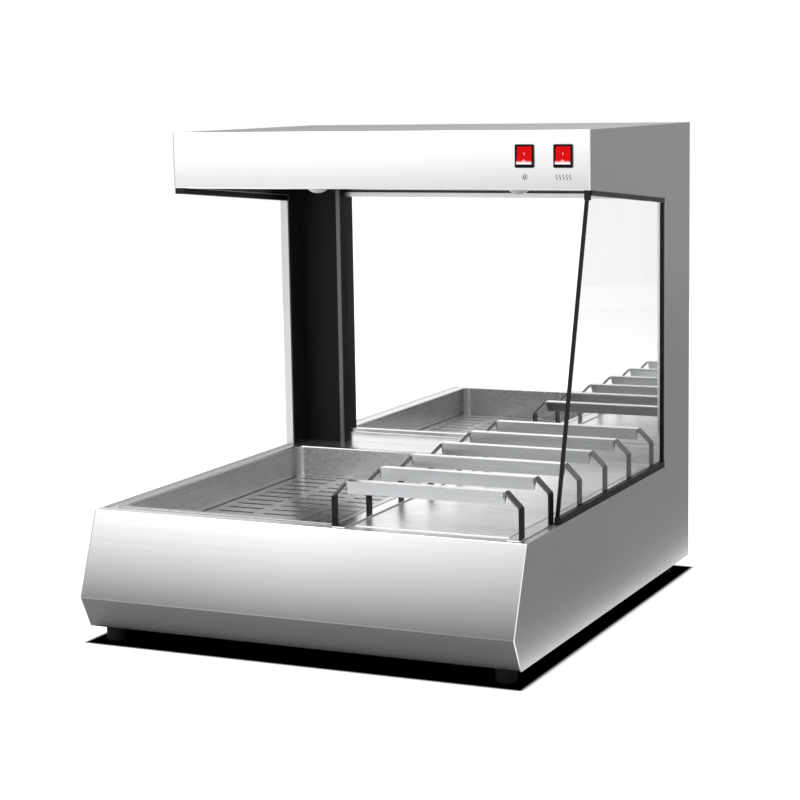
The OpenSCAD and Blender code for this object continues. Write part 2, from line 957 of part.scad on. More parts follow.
base_front_panel();
base_bottom();
left_side_panel();
right_side_panel();
back_panel();
hood_cover();
hood_ceiling();
left_liner();
right_liner();
left_edge_trim();
mirror_glass();  // mirror
mirror_foot_rail();
mirror_top_trim();
wiring_duct();
duct_bead();
deck_frame();
rack_floor();
pan_heater();
floor_heater();
heater_rails();
heater_tubes();
tube_holders();
tube_reflectors();
tube_guards();
left_bulb();
right_bulb();
left_socket();
right_socket();
glass_pane();
glass_bottom_channel();
glass_top_channel();
glass_front_trim();
glass_rear_seal();
glass_corner_block();
light_switch_body();
heat_switch_body();
light_switch_pin();
heat_switch_pin();
thermal_cutout();
terminal_block();
inlet_cup();
cord_gland();
wiring_loom();
foot_front_left();
foot_front_right();
foot_rear_left();
foot_rear_right();
back_screws();
foot_screws();
fry_pan();
drain_grate();
rack_rails();
divider(0);  // divider_1
divider(1);  // divider_2
divider(2);  // divider_3
divider(3);  // divider_4
divider(4);  // divider_5
divider(5);  // divider_6
light_rocker();
heat_rocker();
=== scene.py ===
"""Looks for a countertop chip warmer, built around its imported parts. All lengths are in metres."""

import json
import math

import bmesh
import bpy
from bpy.props import FloatProperty, FloatVectorProperty, IntProperty, PointerProperty
from mathutils import Matrix, Vector


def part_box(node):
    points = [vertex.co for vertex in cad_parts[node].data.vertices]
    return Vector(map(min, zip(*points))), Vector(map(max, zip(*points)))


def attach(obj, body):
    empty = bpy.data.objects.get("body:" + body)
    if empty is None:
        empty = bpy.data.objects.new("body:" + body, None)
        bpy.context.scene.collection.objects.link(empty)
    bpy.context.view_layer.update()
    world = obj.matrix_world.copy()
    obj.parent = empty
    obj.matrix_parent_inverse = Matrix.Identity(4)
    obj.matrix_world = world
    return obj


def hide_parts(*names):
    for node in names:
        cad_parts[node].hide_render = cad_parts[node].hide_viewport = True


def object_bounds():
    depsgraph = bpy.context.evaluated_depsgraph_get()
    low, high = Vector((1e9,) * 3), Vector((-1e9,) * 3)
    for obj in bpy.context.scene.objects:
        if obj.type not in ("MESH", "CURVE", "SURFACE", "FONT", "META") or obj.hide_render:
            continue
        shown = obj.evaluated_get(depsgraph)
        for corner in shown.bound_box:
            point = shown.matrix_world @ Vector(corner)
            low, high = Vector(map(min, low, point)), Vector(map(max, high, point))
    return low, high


bl_info = {
    "name": "Chip warmer",
    "version": (1, 0, 0),
    "blender": (4, 5, 0),
    "location": "View3D > Sidebar > Chip warmer",
    "description": "Formed sheet, glass, lamps, switches and finishes for a countertop chip warmer",
    "category": "Object",
}

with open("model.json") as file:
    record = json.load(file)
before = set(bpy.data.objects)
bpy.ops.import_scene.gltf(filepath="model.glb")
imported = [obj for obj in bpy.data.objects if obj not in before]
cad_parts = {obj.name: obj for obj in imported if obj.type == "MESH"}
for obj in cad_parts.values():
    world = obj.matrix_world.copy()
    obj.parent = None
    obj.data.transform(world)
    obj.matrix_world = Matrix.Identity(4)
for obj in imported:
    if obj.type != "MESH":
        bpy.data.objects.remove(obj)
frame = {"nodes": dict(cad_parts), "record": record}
CAD_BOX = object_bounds()
SLOTS = {row["node"]: row["material_slot"] for row in frame["record"]["subparts"]}
BODY_OF = {
    node: body
    for body, nodes in frame["record"]["behaviour"]["bodies"].items()
    for node in nodes
}
MM = 0.001
PANEL_CREASE_Z = 0.0615
PANEL_LIP_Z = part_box("base_front_panel")[1].z
HOOD_LOW_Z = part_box("hood_cover")[0].z
QUARTER = math.pi / 2
SMOOTH_ANGLE = math.radians(35)


# ---- Settings ----


class WarmerSheetSettings(bpy.types.PropertyGroup):
    """Sizes of the formed sheet metal."""

    fold: FloatProperty(
        name="Fold radius", description="Outside radius of a fold in the casing",
        default=1.6 * MM, min=0.2 * MM, unit="LENGTH",
    )
    edge: FloatProperty(
        name="Cut edge", description="How far a cut sheet edge is rounded over",
        default=0.3 * MM, min=0.05 * MM, unit="LENGTH",
    )
    pan_corner: FloatProperty(
        name="Pan corner", description="Radius of the pan's upright corners",
        default=12 * MM, min=2 * MM, unit="LENGTH",
    )
    pan_floor: FloatProperty(
        name="Pan floor", description="Radius where the pan's walls meet its floor",
        default=7 * MM, min=1 * MM, unit="LENGTH",
    )
    bend_painted_reflection: FloatProperty(
        name="Arch bend", description="Length taken up by each bend of an arch",
        default=2.2 * MM, min=0.5 * MM, unit="LENGTH",
    )


class WarmerFittingSettings(bpy.types.PropertyGroup):
    """Sizes and counts of the small fittings."""

    bezel_corner: FloatProperty(
        name="Bezel corner", description="Radius of the switch bezels' corners",
        default=1.6 * MM, min=0.2 * MM, unit="LENGTH",
    )
    coil_turns: IntProperty(
        name="Coil turns", description="Turns of the resistance wire in each heater tube",
        default=90, min=10,
    )
    symbol_line: FloatProperty(
        name="Symbol line", description="Line width of the printed symbols",
        default=1.0 * MM, min=0.1 * MM, unit="LENGTH",
    )


class WarmerFinishSettings(bpy.types.PropertyGroup):
    """Colours and gloss of the finishes."""

    steel: FloatVectorProperty(
        name="Steel", description="Colour of the brushed stainless sheet",
        default=(0.80, 0.80, 0.80), subtype="COLOR", min=0, max=1,
    )
    polish: FloatVectorProperty(
        name="Polished steel", description="Colour of the polished stainless sheet",
        default=(0.86, 0.86, 0.86), subtype="COLOR", min=0, max=1,
    )
    black: FloatVectorProperty(
        name="Black", description="Colour of the gloss black enamel",
        default=(0.010, 0.010, 0.011), subtype="COLOR", min=0, max=1,
    )
    red: FloatVectorProperty(
        name="Rocker", description="Colour of the lit rockers",
        default=(0.56, 0.001, 0.002), subtype="COLOR", min=0, max=1,
    )
    steel_roughness: FloatProperty(
        name="Steel roughness", description="Roughness of the brushed sheet",
        default=0.34, min=0, max=1, subtype="FACTOR",
    )


class WarmerStageSettings(bpy.types.PropertyGroup):
    """Camera and studio."""

    azimuth: FloatProperty(
        name="Azimuth", description="Turn of the camera from straight in front, to the right",
        default=math.radians(24.83), subtype="ANGLE",
    )
    elevation: FloatProperty(
        name="Elevation", description="Angle by which the camera looks down",
        default=math.radians(8.49), subtype="ANGLE",
    )
    roll: FloatProperty(
        name="Roll", description="Turn of the camera about its own line of sight",
        default=math.radians(-0.972), subtype="ANGLE",
    )
    lens: FloatProperty(
        name="Lens", description="Focal length in millimetres on a 36 mm sensor",
        default=94.55, min=10,
    )
    camera_place: FloatVectorProperty(
        name="Camera place", description="Where the camera stands",
        default=(1.1643, -2.5195, 0.6941), subtype="TRANSLATION", unit="LENGTH",
    )
    key_power: FloatProperty(
        name="Top light", description="Power of the large light overhead, in watts",
        default=30.0, min=0,
    )


# ---- Modelling helpers ----


def start_clean():
    """Leave edit mode and select nothing."""
    if bpy.context.mode != "OBJECT":
        bpy.ops.object.mode_set(mode="OBJECT")
    bpy.ops.object.select_all(action="DESELECT")


def take_up(piece):
    """Make a piece the only selected one, in object mode."""
    start_clean()
    piece.select_set(True)
    bpy.context.view_layer.objects.active = piece


def settle(name):
    """Name the object just added and move its place, turn and size into its mesh."""
    piece = bpy.context.object
    piece.name = name
    piece.data.name = name
    bpy.ops.object.transform_apply(location=True, rotation=True, scale=True)
    return piece


def add_box(name, low, high):
    """A block between two corners."""
    start_clean()
    low = Vector(low)
    high = Vector(high)
    bpy.ops.mesh.primitive_cube_add(size=1, location=(low + high) / 2)
    bpy.context.object.scale = high - low
    return settle(name)


def add_rod(name, middle, radius, length, axis="Z", sides=48, ends="NGON"):
    """A round bar about its middle, along one axis."""
    start_clean()
    turn = {"X": (0, QUARTER, 0), "Y": (-QUARTER, 0, 0), "Z": (0, 0, 0)}[axis]
    bpy.ops.mesh.primitive_cylinder_add(
        vertices=sides, radius=radius, depth=length, location=middle, rotation=turn, end_fill_type=ends,
    )
    return settle(name)


def pick(piece, test, part="FACE"):
    """In edit mode, select only the faces or edges for which test(element) is true."""
    if bpy.context.mode != "EDIT_MESH":
        take_up(piece)
        bpy.ops.object.mode_set(mode="EDIT")
    bpy.ops.mesh.select_mode(type=part)
    bpy.ops.mesh.select_all(action="DESELECT")
    shape = bmesh.from_edit_mesh(piece.data)
    shape.normal_update()
    for element in shape.faces if part == "FACE" else shape.edges:
        if test(element):
            element.select_set(True)
    bmesh.update_edit_mesh(piece.data)


def extrude_faces(move):
    bpy.ops.mesh.extrude_region_move(TRANSFORM_OT_translate={"value": move})


def extrude_edges(move):
    bpy.ops.mesh.extrude_edges_move(TRANSFORM_OT_translate={"value": move})


def round_picked(offset, segments=3):
    bpy.ops.mesh.bevel(offset=offset, segments=segments, affect="EDGES", clamp_overlap=True)


def edge_middle(edge):
    return (edge.verts[0].co + edge.verts[1].co) / 2


def edge_line(edge):
    return (edge.verts[1].co - edge.verts[0].co).normalized()


def face_width(face):
    """Rough width of a long face: twice its area over its outline."""
    return 2 * face.calc_area() / max(face.calc_perimeter(), 1e-9)


def modify(piece, kind, **values):
    """Add a modifier, set it and apply it."""
    take_up(piece)
    modifier = piece.modifiers.new(kind.title(), kind)
    for key, value in values.items():
        setattr(modifier, key, value)
    bpy.ops.object.modifier_apply(modifier=modifier.name)


def thicken(piece, thickness, offset=-1):
    modify(piece, "SOLIDIFY", thickness=thickness, offset=offset, use_even_offset=True)


def break_edges(piece, width, segments=2):
    """Round every sharp edge by a small width."""
    modify(
        piece, "BEVEL", width=width, segments=segments, limit_method="ANGLE",
        angle_limit=math.radians(40), use_clamp_overlap=True,
    )


def mark_edges(piece, width):
    """Store 1 on points in the middle of a rounded edge, where a highlight is painted into the finish.
    """
    shape = bmesh.new()
    shape.from_mesh(piece.data)
    narrow = {face.index: face_width(face) < width for face in shape.faces}
    layer = shape.verts.layers.float.new("edge")
    for vert in shape.verts:
        vert[layer] = float(bool(vert.link_faces) and all(narrow[f.index] for f in vert.link_faces))
    shape.to_mesh(piece.data)
    shape.free()


def joined(name, pieces):
    """One piece made of several."""
    start_clean()
    for piece in pieces:
        piece.select_set(True)
    bpy.context.view_layer.objects.active = pieces[0]
    bpy.ops.object.join()
    return settle(name)


def copied(piece, name, move):
    """A copy with its own mesh, moved."""
    other = piece.copy()
    other.data = piece.data.copy()
    other.name = name
    other.data.name = name
    other.data.transform(Matrix.Translation(move))
    bpy.context.collection.objects.link(other)
    return other


def finish_piece(piece, material, body, stands_for=(), angle=SMOOTH_ANGLE):
    """Shade a piece, paint it, put it on its body and hide the parts it stands for."""
    take_up(piece)
    bpy.ops.object.shade_smooth_by_angle(angle=angle)
    modify(piece, "WEIGHTED_NORMAL", keep_sharp=True, weight=100)
    piece.data.materials.clear()
    piece.data.materials.append(material)
    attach(piece, body)
    if stands_for:
        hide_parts(*stands_for)
    return piece


def flip_if(piece, test):
    """In edit mode, turn every face round if one that passes the test points the wrong way."""
    shape = bmesh.from_edit_mesh(piece.data)
    shape.normal_update()
    if any(test(face) for face in shape.faces):
        bpy.ops.mesh.select_all(action="SELECT")
        bpy.ops.mesh.flip_normals()


def repaint(piece, material, test):
    """Give the faces that pass the test a second material."""
    piece.data.materials.append(material)
    for face in piece.data.polygons:
        if test(face):
            face.material_index = len(piece.data.materials) - 1


def stand_in(piece, node, look=None, axis="X"):
    """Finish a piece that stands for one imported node, in the finish of its slot or another look."""
    material = finish_for(look or SLOTS[node], axis)
    return finish_piece(piece, material, BODY_OF[node], [node])


def turn_about(piece, angle, centre):
    """Turn a whole piece about an axis that runs from front to back."""
    take_up(piece)
    bpy.ops.object.mode_set(mode="EDIT")
    bpy.ops.mesh.select_all(action="SELECT")
    bpy.ops.transform.rotate(value=angle, orient_axis="Y", center_override=centre)
    bpy.ops.object.mode_set(mode="OBJECT")


def face_out(piece, inside=False):
    """In edit mode, point every face of the piece the same way."""
    bpy.ops.mesh.select_all(action="SELECT")
    bpy.ops.mesh.normals_make_consistent(inside=inside)


def formed_copy(node, fold, edge):
    """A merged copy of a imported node, with its folds rounded and its cut edges broken."""
    piece = bpy.data.objects.new(node + "_formed", frame["nodes"][node].data.copy())
    bpy.context.collection.objects.link(piece)
    take_up(piece)
    bpy.ops.mesh.customdata_custom_splitnormals_clear()
    bpy.ops.object.mode_set(mode="EDIT")
    bpy.ops.mesh.select_all(action="SELECT")
    bpy.ops.mesh.remove_doubles(threshold=0.01 * MM)
    bpy.ops.mesh.dissolve_limited(angle_limit=math.radians(0.5))
    if fold:
        wide = 2.2 * MM

        def is_fold(e):
            if len(e.link_faces) != 2 or e.calc_face_angle_signed(0) < math.radians(15):
                return False
            return all(face_width(face) > wide for face in e.link_faces)

        pick(piece, is_fold, "EDGE")
        round_picked(fold, 4)
    bpy.ops.object.mode_set(mode="OBJECT")
    break_edges(piece, edge)
    mark_edges(piece, max(fold, edge) * 0.9)
    return piece


# ---- Finishes ----


class Finish:
    """A material's nodes, with short calls for the ones used here."""

    def __init__(self, name):
        self.material = bpy.data.materials.new(name)
        self.material.use_nodes = True
        self.nodes = self.material.node_tree.nodes
        self.links = self.material.node_tree.links
        self.shader = self.nodes["Principled BSDF"]
        self.place = self.nodes.new("ShaderNodeTexCoord").outputs["Object"]

    def set(self, **sockets):
        """Set plain values on the shader's own sockets, by name with _ for a space."""
        for key, value in sockets.items():
            self.shader.inputs[key.replace("_", " ")].default_value = value

    def drive(self, socket, source):
        self.links.new(source, self.shader.inputs[socket])

    def noise(self, scale, detail=3.0, roughness=0.5, distortion=0.0):
        """Noise on the object's own coordinates, scaled along each axis."""
        mapping = self.nodes.new("ShaderNodeMapping")
        mapping.inputs["Scale"].default_value = scale
        texture = self.nodes.new("ShaderNodeTexNoise")
        texture.inputs["Scale"].default_value = 1.0
        texture.inputs["Detail"].default_value = detail
        texture.inputs["Roughness"].default_value = roughness
        texture.inputs["Distortion"].default_value = distortion
        self.links.new(self.place, mapping.inputs["Vector"])
        self.links.new(mapping.outputs["Vector"], texture.inputs["Vector"])
        return texture.outputs["Fac"]

    def along(self, axis):
        """One of the object's own coordinates, in metres."""
        split = self.nodes.new("ShaderNodeSeparateXYZ")
        self.links.new(self.place, split.inputs[0])
        return split.outputs[axis]

    def edge(self):
        """The stored mark of rounded edges, where a highlight is painted."""
        attribute = self.nodes.new("ShaderNodeAttribute")
        attribute.attribute_name = "edge"
        return attribute.outputs["Fac"]

    def spread(self, value, low, high, to_low, to_high, smooth=False):
        """value from low..high to to_low..to_high, held at both ends."""
        node = self.nodes.new("ShaderNodeMapRange")
        if smooth:
            node.interpolation_type = "SMOOTHSTEP"
        for index, number in enumerate((low, high, to_low, to_high), 1):
            node.inputs[index].default_value = number
        self.links.new(value, node.inputs[0])
        return node.outputs[0]

    def math(self, kind, a, b):
        node = self.nodes.new("ShaderNodeMath")
        node.operation = kind
        for socket, value in zip(node.inputs, (a, b)):
            if isinstance(value, (int, float)):
                socket.default_value = value
            else:
                self.links.new(value, socket)
        return node.outputs[0]

    def mix(self, factor, a, b):
        """Two colours mixed by a factor; either may be a colour or a socket."""
        node = self.nodes.new("ShaderNodeMix")
        node.data_type = "RGBA"
        self.links.new(factor, node.inputs["Factor"])
        for socket, value in ((node.inputs[6], a), (node.inputs[7], b)):
            if isinstance(value, bpy.types.NodeSocket):
                self.links.new(value, socket)
            else:
                socket.default_value = (*value[:3], 1.0)
        return node.outputs[2]

    def scaled(self, colour, factor):
        """A colour times a factor."""
        node = self.nodes.new("ShaderNodeVectorMath")
        node.operation = "SCALE"
        self.links.new(colour, node.inputs[0])
        self.links.new(factor, node.inputs["Scale"])
        return node.outputs[0]

    def patchy(self, noise, low, high, a, b):
        """Two colours in patches, by a noise read from low to high."""
        return self.mix(self.spread(noise, low, high, 0, 1), a, b)

    def bump(self, height, distance, strength=1.0, under=None):
        node = self.nodes.new("ShaderNodeBump")
        node.inputs["Strength"].default_value = strength
        node.inputs["Distance"].default_value = distance
        self.links.new(height, node.inputs["Height"])
        if under is not None:
            self.links.new(under, node.inputs["Normal"])
        return node.outputs["Normal"]


def shade(colour, amount):
    """A colour made darker or lighter by a factor."""
    return tuple(min(1.0, c * amount) for c in colour[:3])


def grain_scale(axis, length, width):
    """Noise scales for streaks that run along one axis."""
    scale = [width] * 3
    scale["XYZ".index(axis)] = length
    return scale


def brushed(name, axis, colour, roughness, grain=1.0, painted_fades=(), painted_toe=None):
    """Brushed sheet: fine streaks along one axis, faint smudges and a highlight painted on rounded
    edges.

    Each fade paints shade along one axis: (axis, from, to, share of the colour left at from).
    The toe is the height below which a still darker shade is painted, and the share left there.
    """
    f = Finish(name)
    fine = f.noise(grain_scale(axis, 6, 1500), 2.0, 0.6)
    broad = f.noise(grain_scale(axis, 1.2, 160), 3.0, 0.55)
    cloud = f.noise((7, 7, 7), 4.0, 0.55, 0.4)
    streaks = f.math("MULTIPLY_ADD", fine, 0.55)
    f.links.new(f.math("MULTIPLY", broad, 0.45), streaks.node.inputs[2])
    tone = f.patchy(streaks, 0.35, 0.65, shade(colour, 1 - 0.07 * grain), colour)
    tone = f.mix(f.spread(cloud, 0.35, 0.75, 0, 0.35), tone, shade(colour, 0.9))
    # Painted highlight: the rounded edges are made lighter.
    tone = f.mix(f.edge(), tone, shade(colour, 1.05))
    # Painted shade: each fade darkens the colour along its axis.
    for along, start, end, share in painted_fades:
        kept = f.spread(f.along(along), start, end, share, 1)
        tone = f.scaled(tone, kept)
    # Painted shade: below the toe height the colour is darker still, standing in for a dark reflection.
    if painted_toe:
        height, share = painted_toe
        tone = f.mix(f.spread(f.along(2), height - 0.6 * MM, height, 0, 1), shade(colour, share), tone)
    f.drive("Base Color", tone)
    rough = f.spread(streaks, 0.3, 0.7, roughness - 0.05 * grain, roughness + 0.05 * grain)
    rough = f.math("ADD", rough, f.spread(cloud, 0.45, 0.8, 0.0, 0.07))
    f.drive("Roughness", f.math("SUBTRACT", rough, f.math("MULTIPLY", f.edge(), 0.05)))
    f.drive("Normal", f.bump(streaks, 0.05 * MM, 0.25 * grain))
    f.set(Metallic=1.0)
    return f.material


def polished(name, axis, colour, roughness):
    """Polished sheet with faint rolling lines and wipe marks."""
    f = Finish(name)
    lines = f.noise(grain_scale(axis, 0.8, 90), 4.0, 0.6)
    wipes = f.noise((16, 22, 16), 5.0, 0.6, 0.8)
    tone = f.patchy(lines, 0.35, 0.65, shade(colour, 0.90), colour)
    # Painted highlight: the rounded edges are made lighter.
    f.drive("Base Color", f.mix(f.edge(), tone, shade(colour, 1.1)))
    rough = f.spread(wipes, 0.4, 0.75, roughness, roughness + 0.10)
    f.drive("Roughness", rough)
    f.drive("Normal", f.bump(lines, 0.4 * MM, 0.10))
    f.set(Metallic=1.0)
    return f.material


def enamel(name, colour, roughness, peel=1.0, coat=0.5, specular=0.5):
    """Sprayed paint: a slight orange peel, dust-fine speckle and a highlight painted on rounded edges.
    """
    f = Finish(name)
    peel_noise = f.noise((420, 420, 420), 2.0, 0.5)
    cloud = f.noise((9, 9, 9), 4.0, 0.6)
    tone = f.patchy(cloud, 0.35, 0.7, colour, shade(colour, 1.7))
    # Painted highlight: the rounded edges are made lighter grey.
    f.drive("Base Color", f.mix(f.math("MULTIPLY", f.edge(), 0.7), tone, (0.07, 0.07, 0.07)))
    f.drive("Roughness", f.spread(cloud, 0.35, 0.75, roughness, roughness + 0.12))
    f.drive("Normal", f.bump(peel_noise, 0.05 * MM, 0.25 * peel))
    f.set(Coat_Weight=coat, Coat_Roughness=0.06, Specular_IOR_Level=specular)
    return f.material


def moulded(name, colour, roughness, grain=900, depth=0.3, coat=0.0, specular=0.5):
    """Moulded plastic, rubber or fired ceramic: fine pitted grain and slight mottling."""
    f = Finish(name)
    pits = f.noise((grain, grain, grain), 3.0, 0.6)
    cloud = f.noise((40, 40, 40), 4.0, 0.6)
    tone = f.patchy(cloud, 0.35, 0.7, shade(colour, 0.82), shade(colour, 1.12))
    # Painted highlight: the rounded edges are made lighter.
    f.drive("Base Color", f.mix(f.math("MULTIPLY", f.edge(), 0.5), tone, shade(colour, 1.8)))
    f.drive("Roughness", f.spread(pits, 0.3, 0.7, roughness - 0.06, roughness + 0.08))
    f.drive("Normal", f.bump(pits, 0.08 * MM, depth))
    f.set(Coat_Weight=coat, Coat_Roughness=0.1, Specular_IOR_Level=specular)
    return f.material


def mirror_finish():
    """Silvered glass with a trace of haze."""
    f = Finish("mirror_silver")
    haze = f.noise((5, 5, 7), 5.0, 0.6, 0.5)
    f.drive("Base Color", f.patchy(haze, 0.3, 0.8, (0.97, 0.975, 0.975), (0.93, 0.935, 0.94)))
    f.drive("Roughness", f.spread(haze, 0.5, 0.85, 0.012, 0.05))
    f.set(Metallic=1.0)
    return f.material


def clear_glass():
    """Clear toughened glass with faint wipe marks and a green cast."""
    f = Finish("clear_toughened_glass")
    wipes = f.noise((14, 14, 6), 5.0, 0.65, 1.0)
    f.drive("Base Color", f.patchy(wipes, 0.3, 0.8, (0.985, 0.995, 0.99), (0.95, 0.965, 0.96)))
    f.drive("Roughness", f.spread(wipes, 0.55, 0.85, 0.0, 0.05))
    f.set(Transmission_Weight=1.0, IOR=1.45)
    return f.material


def quartz_glass():
    """Slightly milky quartz tube."""
    f = Finish("quartz_tube_glass")
    drawn = f.noise((3, 260, 260), 3.0, 0.5)
    f.drive("Base Color", f.patchy(drawn, 0.3, 0.7, (0.99, 0.97, 0.95), (0.95, 0.91, 0.88)))
    f.drive("Roughness", f.spread(drawn, 0.3, 0.7, 0.02, 0.12))
    f.set(Transmission_Weight=0.95, IOR=1.46)
    return f.material


def lamp_glass():
    """Frosted lamp glass with a soft inner light."""
    f = Finish("frosted_lamp_glass")
    frost = f.noise((900, 900, 900), 2.0, 0.6)
    cloud = f.noise((60, 60, 60), 3.0, 0.5)
    f.drive("Base Color", f.patchy(cloud, 0.3, 0.7, (0.58, 0.58, 0.57), (0.50, 0.50, 0.49)))
    f.drive("Roughness", f.spread(frost, 0.3, 0.7, 0.22, 0.38))
    f.drive("Normal", f.bump(frost, 0.03 * MM, 0.3))
    f.set(Transmission_Weight=0.15, Emission_Color=(1.0, 0.93, 0.82, 1.0), Emission_Strength=0.02)
    return f.material


def rocker_finish(colour):
    """Translucent red rocker, lit from inside, with a glare highlight painted towards its lower edge.
    """
    f = Finish("lit_red_rocker")
    low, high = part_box("light_rocker")
    height = high.z - low.z
    cloud = f.noise((180, 180, 180), 3.0, 0.5)
    # Painted highlight: a near-white glare over the lower part, in both colour and glow.
    glare = f.spread(f.along(2), low.z + 0.04 * height, low.z + 0.24 * height, 1, 0, smooth=True)
    tone = f.patchy(cloud, 0.3, 0.7, colour, shade(colour, 0.8))
    tone = f.mix(glare, tone, (1.0, 0.80, 0.82))
    f.drive("Base Color", tone)
    f.drive("Emission Color", tone)
    f.drive("Roughness", f.spread(cloud, 0.3, 0.7, 0.12, 0.22))
    f.set(Emission_Strength=0.12, Specular_IOR_Level=0.06)
    return f.material


def mica_finish():
    """Mica heater mat with its wires showing through as lines."""
    f = Finish("mica_heater_mat")
    flakes = f.noise((120, 120, 120), 5.0, 0.65)
    wires = f.noise((1, 160, 1), 0.0)
    tone = f.patchy(flakes, 0.3, 0.7, (0.34, 0.24, 0.13), (0.52, 0.40, 0.24))
    f.drive("Base Color", f.mix(f.spread(wires, 0.5, 0.56, 0, 0.5), tone, (0.12, 0.09, 0.06)))
    f.drive("Roughness", f.spread(flakes, 0.3, 0.7, 0.45, 0.7))
    f.drive("Normal", f.bump(flakes, 0.1 * MM, 0.4))
    return f.material


def zinc_finish():
    """Zinc-coated steel with its spangle."""
    f = Finish("zinc_spangle")
    cells = f.nodes.new("ShaderNodeTexVoronoi")
    cells.inputs["Scale"].default_value = 130
    f.links.new(f.place, cells.inputs["Vector"])
    value = f.nodes.new("ShaderNodeSeparateColor")
    f.links.new(cells.outputs["Color"], value.inputs[0])
    f.drive("Base Color", f.mix(value.outputs[0], (0.50, 0.52, 0.54), (0.68, 0.70, 0.72)))
    f.drive("Roughness", f.spread(value.outputs[1], 0, 1, 0.32, 0.5))
    f.set(Metallic=1.0)
    return f.material


MADE = {}


def finish_for(slot, axis="X"):
    """The material for one of the record's slots, made once; sheet steel also has a grain axis."""
    settings = bpy.context.scene.warmer_finish
    steel = tuple(settings.steel)
    polish = tuple(settings.polish)
    makers = {
        "brushed_stainless": lambda: brushed(
            "brushed_steel_" + axis, axis, steel, settings.steel_roughness,
        ),
        "polished_stainless": lambda: polished("polished_steel_" + axis, axis, polish, 0.16),
        "pan_stainless": lambda: brushed("pan_steel_" + axis, axis, shade(steel, 0.9), 0.26, 1.4),
        "mirror": mirror_finish,
        "black_liner": lambda: enamel("gloss_black_enamel", tuple(settings.black), 0.10),
        "dark_ceiling": lambda: enamel("satin_black_enamel", (0.025, 0.025, 0.026), 0.35, 2.0, 0.1),
        "aluminium_trim": lambda: brushed("satin_aluminium", axis, (0.62, 0.62, 0.63), 0.30, 0.8),
        "galvanised_steel": zinc_finish,
        "heater_mat": mica_finish,
        "quartz": quartz_glass,
        "ceramic": lambda: moulded("fired_ceramic", (0.80, 0.78, 0.72), 0.55, 500, 0.25),
        "lamp_glass": lamp_glass,
        "clear_glass": clear_glass,
        "black_trim": lambda: moulded(
            "black_extruded_trim", (0.004, 0.004, 0.004), 0.3, 700, 0.15, 0.0, 0.2,
        ),
        "grey_trim": lambda: brushed("dark_grey_extrusion", axis, (0.10, 0.10, 0.10), 0.35, 1.2),
        "black_plastic": lambda: moulded(
            "black_moulded_plastic", (0.003, 0.003, 0.003), 0.45, 1200, 0.25, 0.0, 0.12,
        ),
        "bright_steel": lambda: brushed("plated_steel", axis, (0.74, 0.74, 0.72), 0.22, 0.8),
        "wire_sleeve": lambda: moulded("braided_sleeve", (0.03, 0.03, 0.032), 0.6, 600, 0.6),
        "rubber": lambda: moulded("foot_rubber", (0.006, 0.006, 0.006), 0.7, 1500, 0.5, 0.0, 0.1),
        # Painted light and shade: the panel is lightened, darker from lip to crease and towards the
        # right, and near black below the crease.
        "front_panel": lambda: brushed(
            "brushed_panel_painted_shade", "X", shade(steel, 1.2), settings.steel_roughness, 1.0,
            ((2, PANEL_CREASE_Z, PANEL_LIP_Z, 0.24), (0, 0.32, 0.0, 0.72)), (PANEL_CREASE_Z, 0.11),
        ),
        # Painted shade: the left side is a darker copy of the steel.
        "left_side_painted_shade": lambda: brushed(
            "brushed_left_side_painted_shade", "Y", shade(steel, 0.66), settings.steel_roughness, 0.8,
        ),
        "side_panel": lambda: brushed("brushed_side_panel", "Y", steel, settings.steel_roughness, 0.7),
        # Painted light and shade: the hood is lightened, darker towards its lower edge and towards the
        # right.
        "hood_sheet": lambda: brushed(
            "brushed_hood_sheet", "X", shade(steel, 1.2), settings.steel_roughness, 0.8,
            ((2, HOOD_LOW_Z, HOOD_LOW_Z + 62 * MM, 0.66), (0, 0.35, -0.15, 0.86)),
        ),
        # Painted shade: the hood's top is a darker copy of the steel, darker still towards the left.
        "hood_lid_painted_shade": lambda: brushed(
            "brushed_hood_lid_painted_shade", "X", shade(steel, 0.74), settings.steel_roughness, 0.6,
            ((0, CAD_BOX[0][0], CAD_BOX[1][0], 0.62),),
        ),
        # Painted light: the deck and rack floor get a lighter copy of the steel.
        "bay_painted_light": lambda: brushed("bright_bay_painted_light", axis, shade(steel, 1.25), 0.28, 1.3),
        # Painted reflections on the arches: grey to near-black copies of the steel.
        "leg_painted_reflection": lambda: brushed("dark_leg_painted_reflection", axis, (0.018, 0.018, 0.018), 0.34, 2.0),
        "bend_painted_reflection": lambda: brushed("dull_bend_painted_reflection", axis, (0.13, 0.13, 0.132), 0.36, 2.0),
        "front_painted_reflection": lambda: brushed("brushed_front_painted_reflection", axis, (0.44, 0.45, 0.46), 0.36, 2.5),
        "duct_black": lambda: enamel("matt_black_duct", (0.004, 0.004, 0.004), 0.5, 1.0, 0.0, 0.15),
        "bead": lambda: brushed("dark_bead", "Z", (0.12, 0.12, 0.12), 0.36, 1.0),
        "white_print": lambda: moulded("white_print", (0.85, 0.85, 0.85), 0.4, 900, 0.1),
        "red_lens": lambda: rocker_finish(tuple(settings.red)),
    }
    key = (slot, axis)
    if key not in MADE:
        MADE[key] = makers[slot]()
    return MADE[key]


# ---- Operators ----


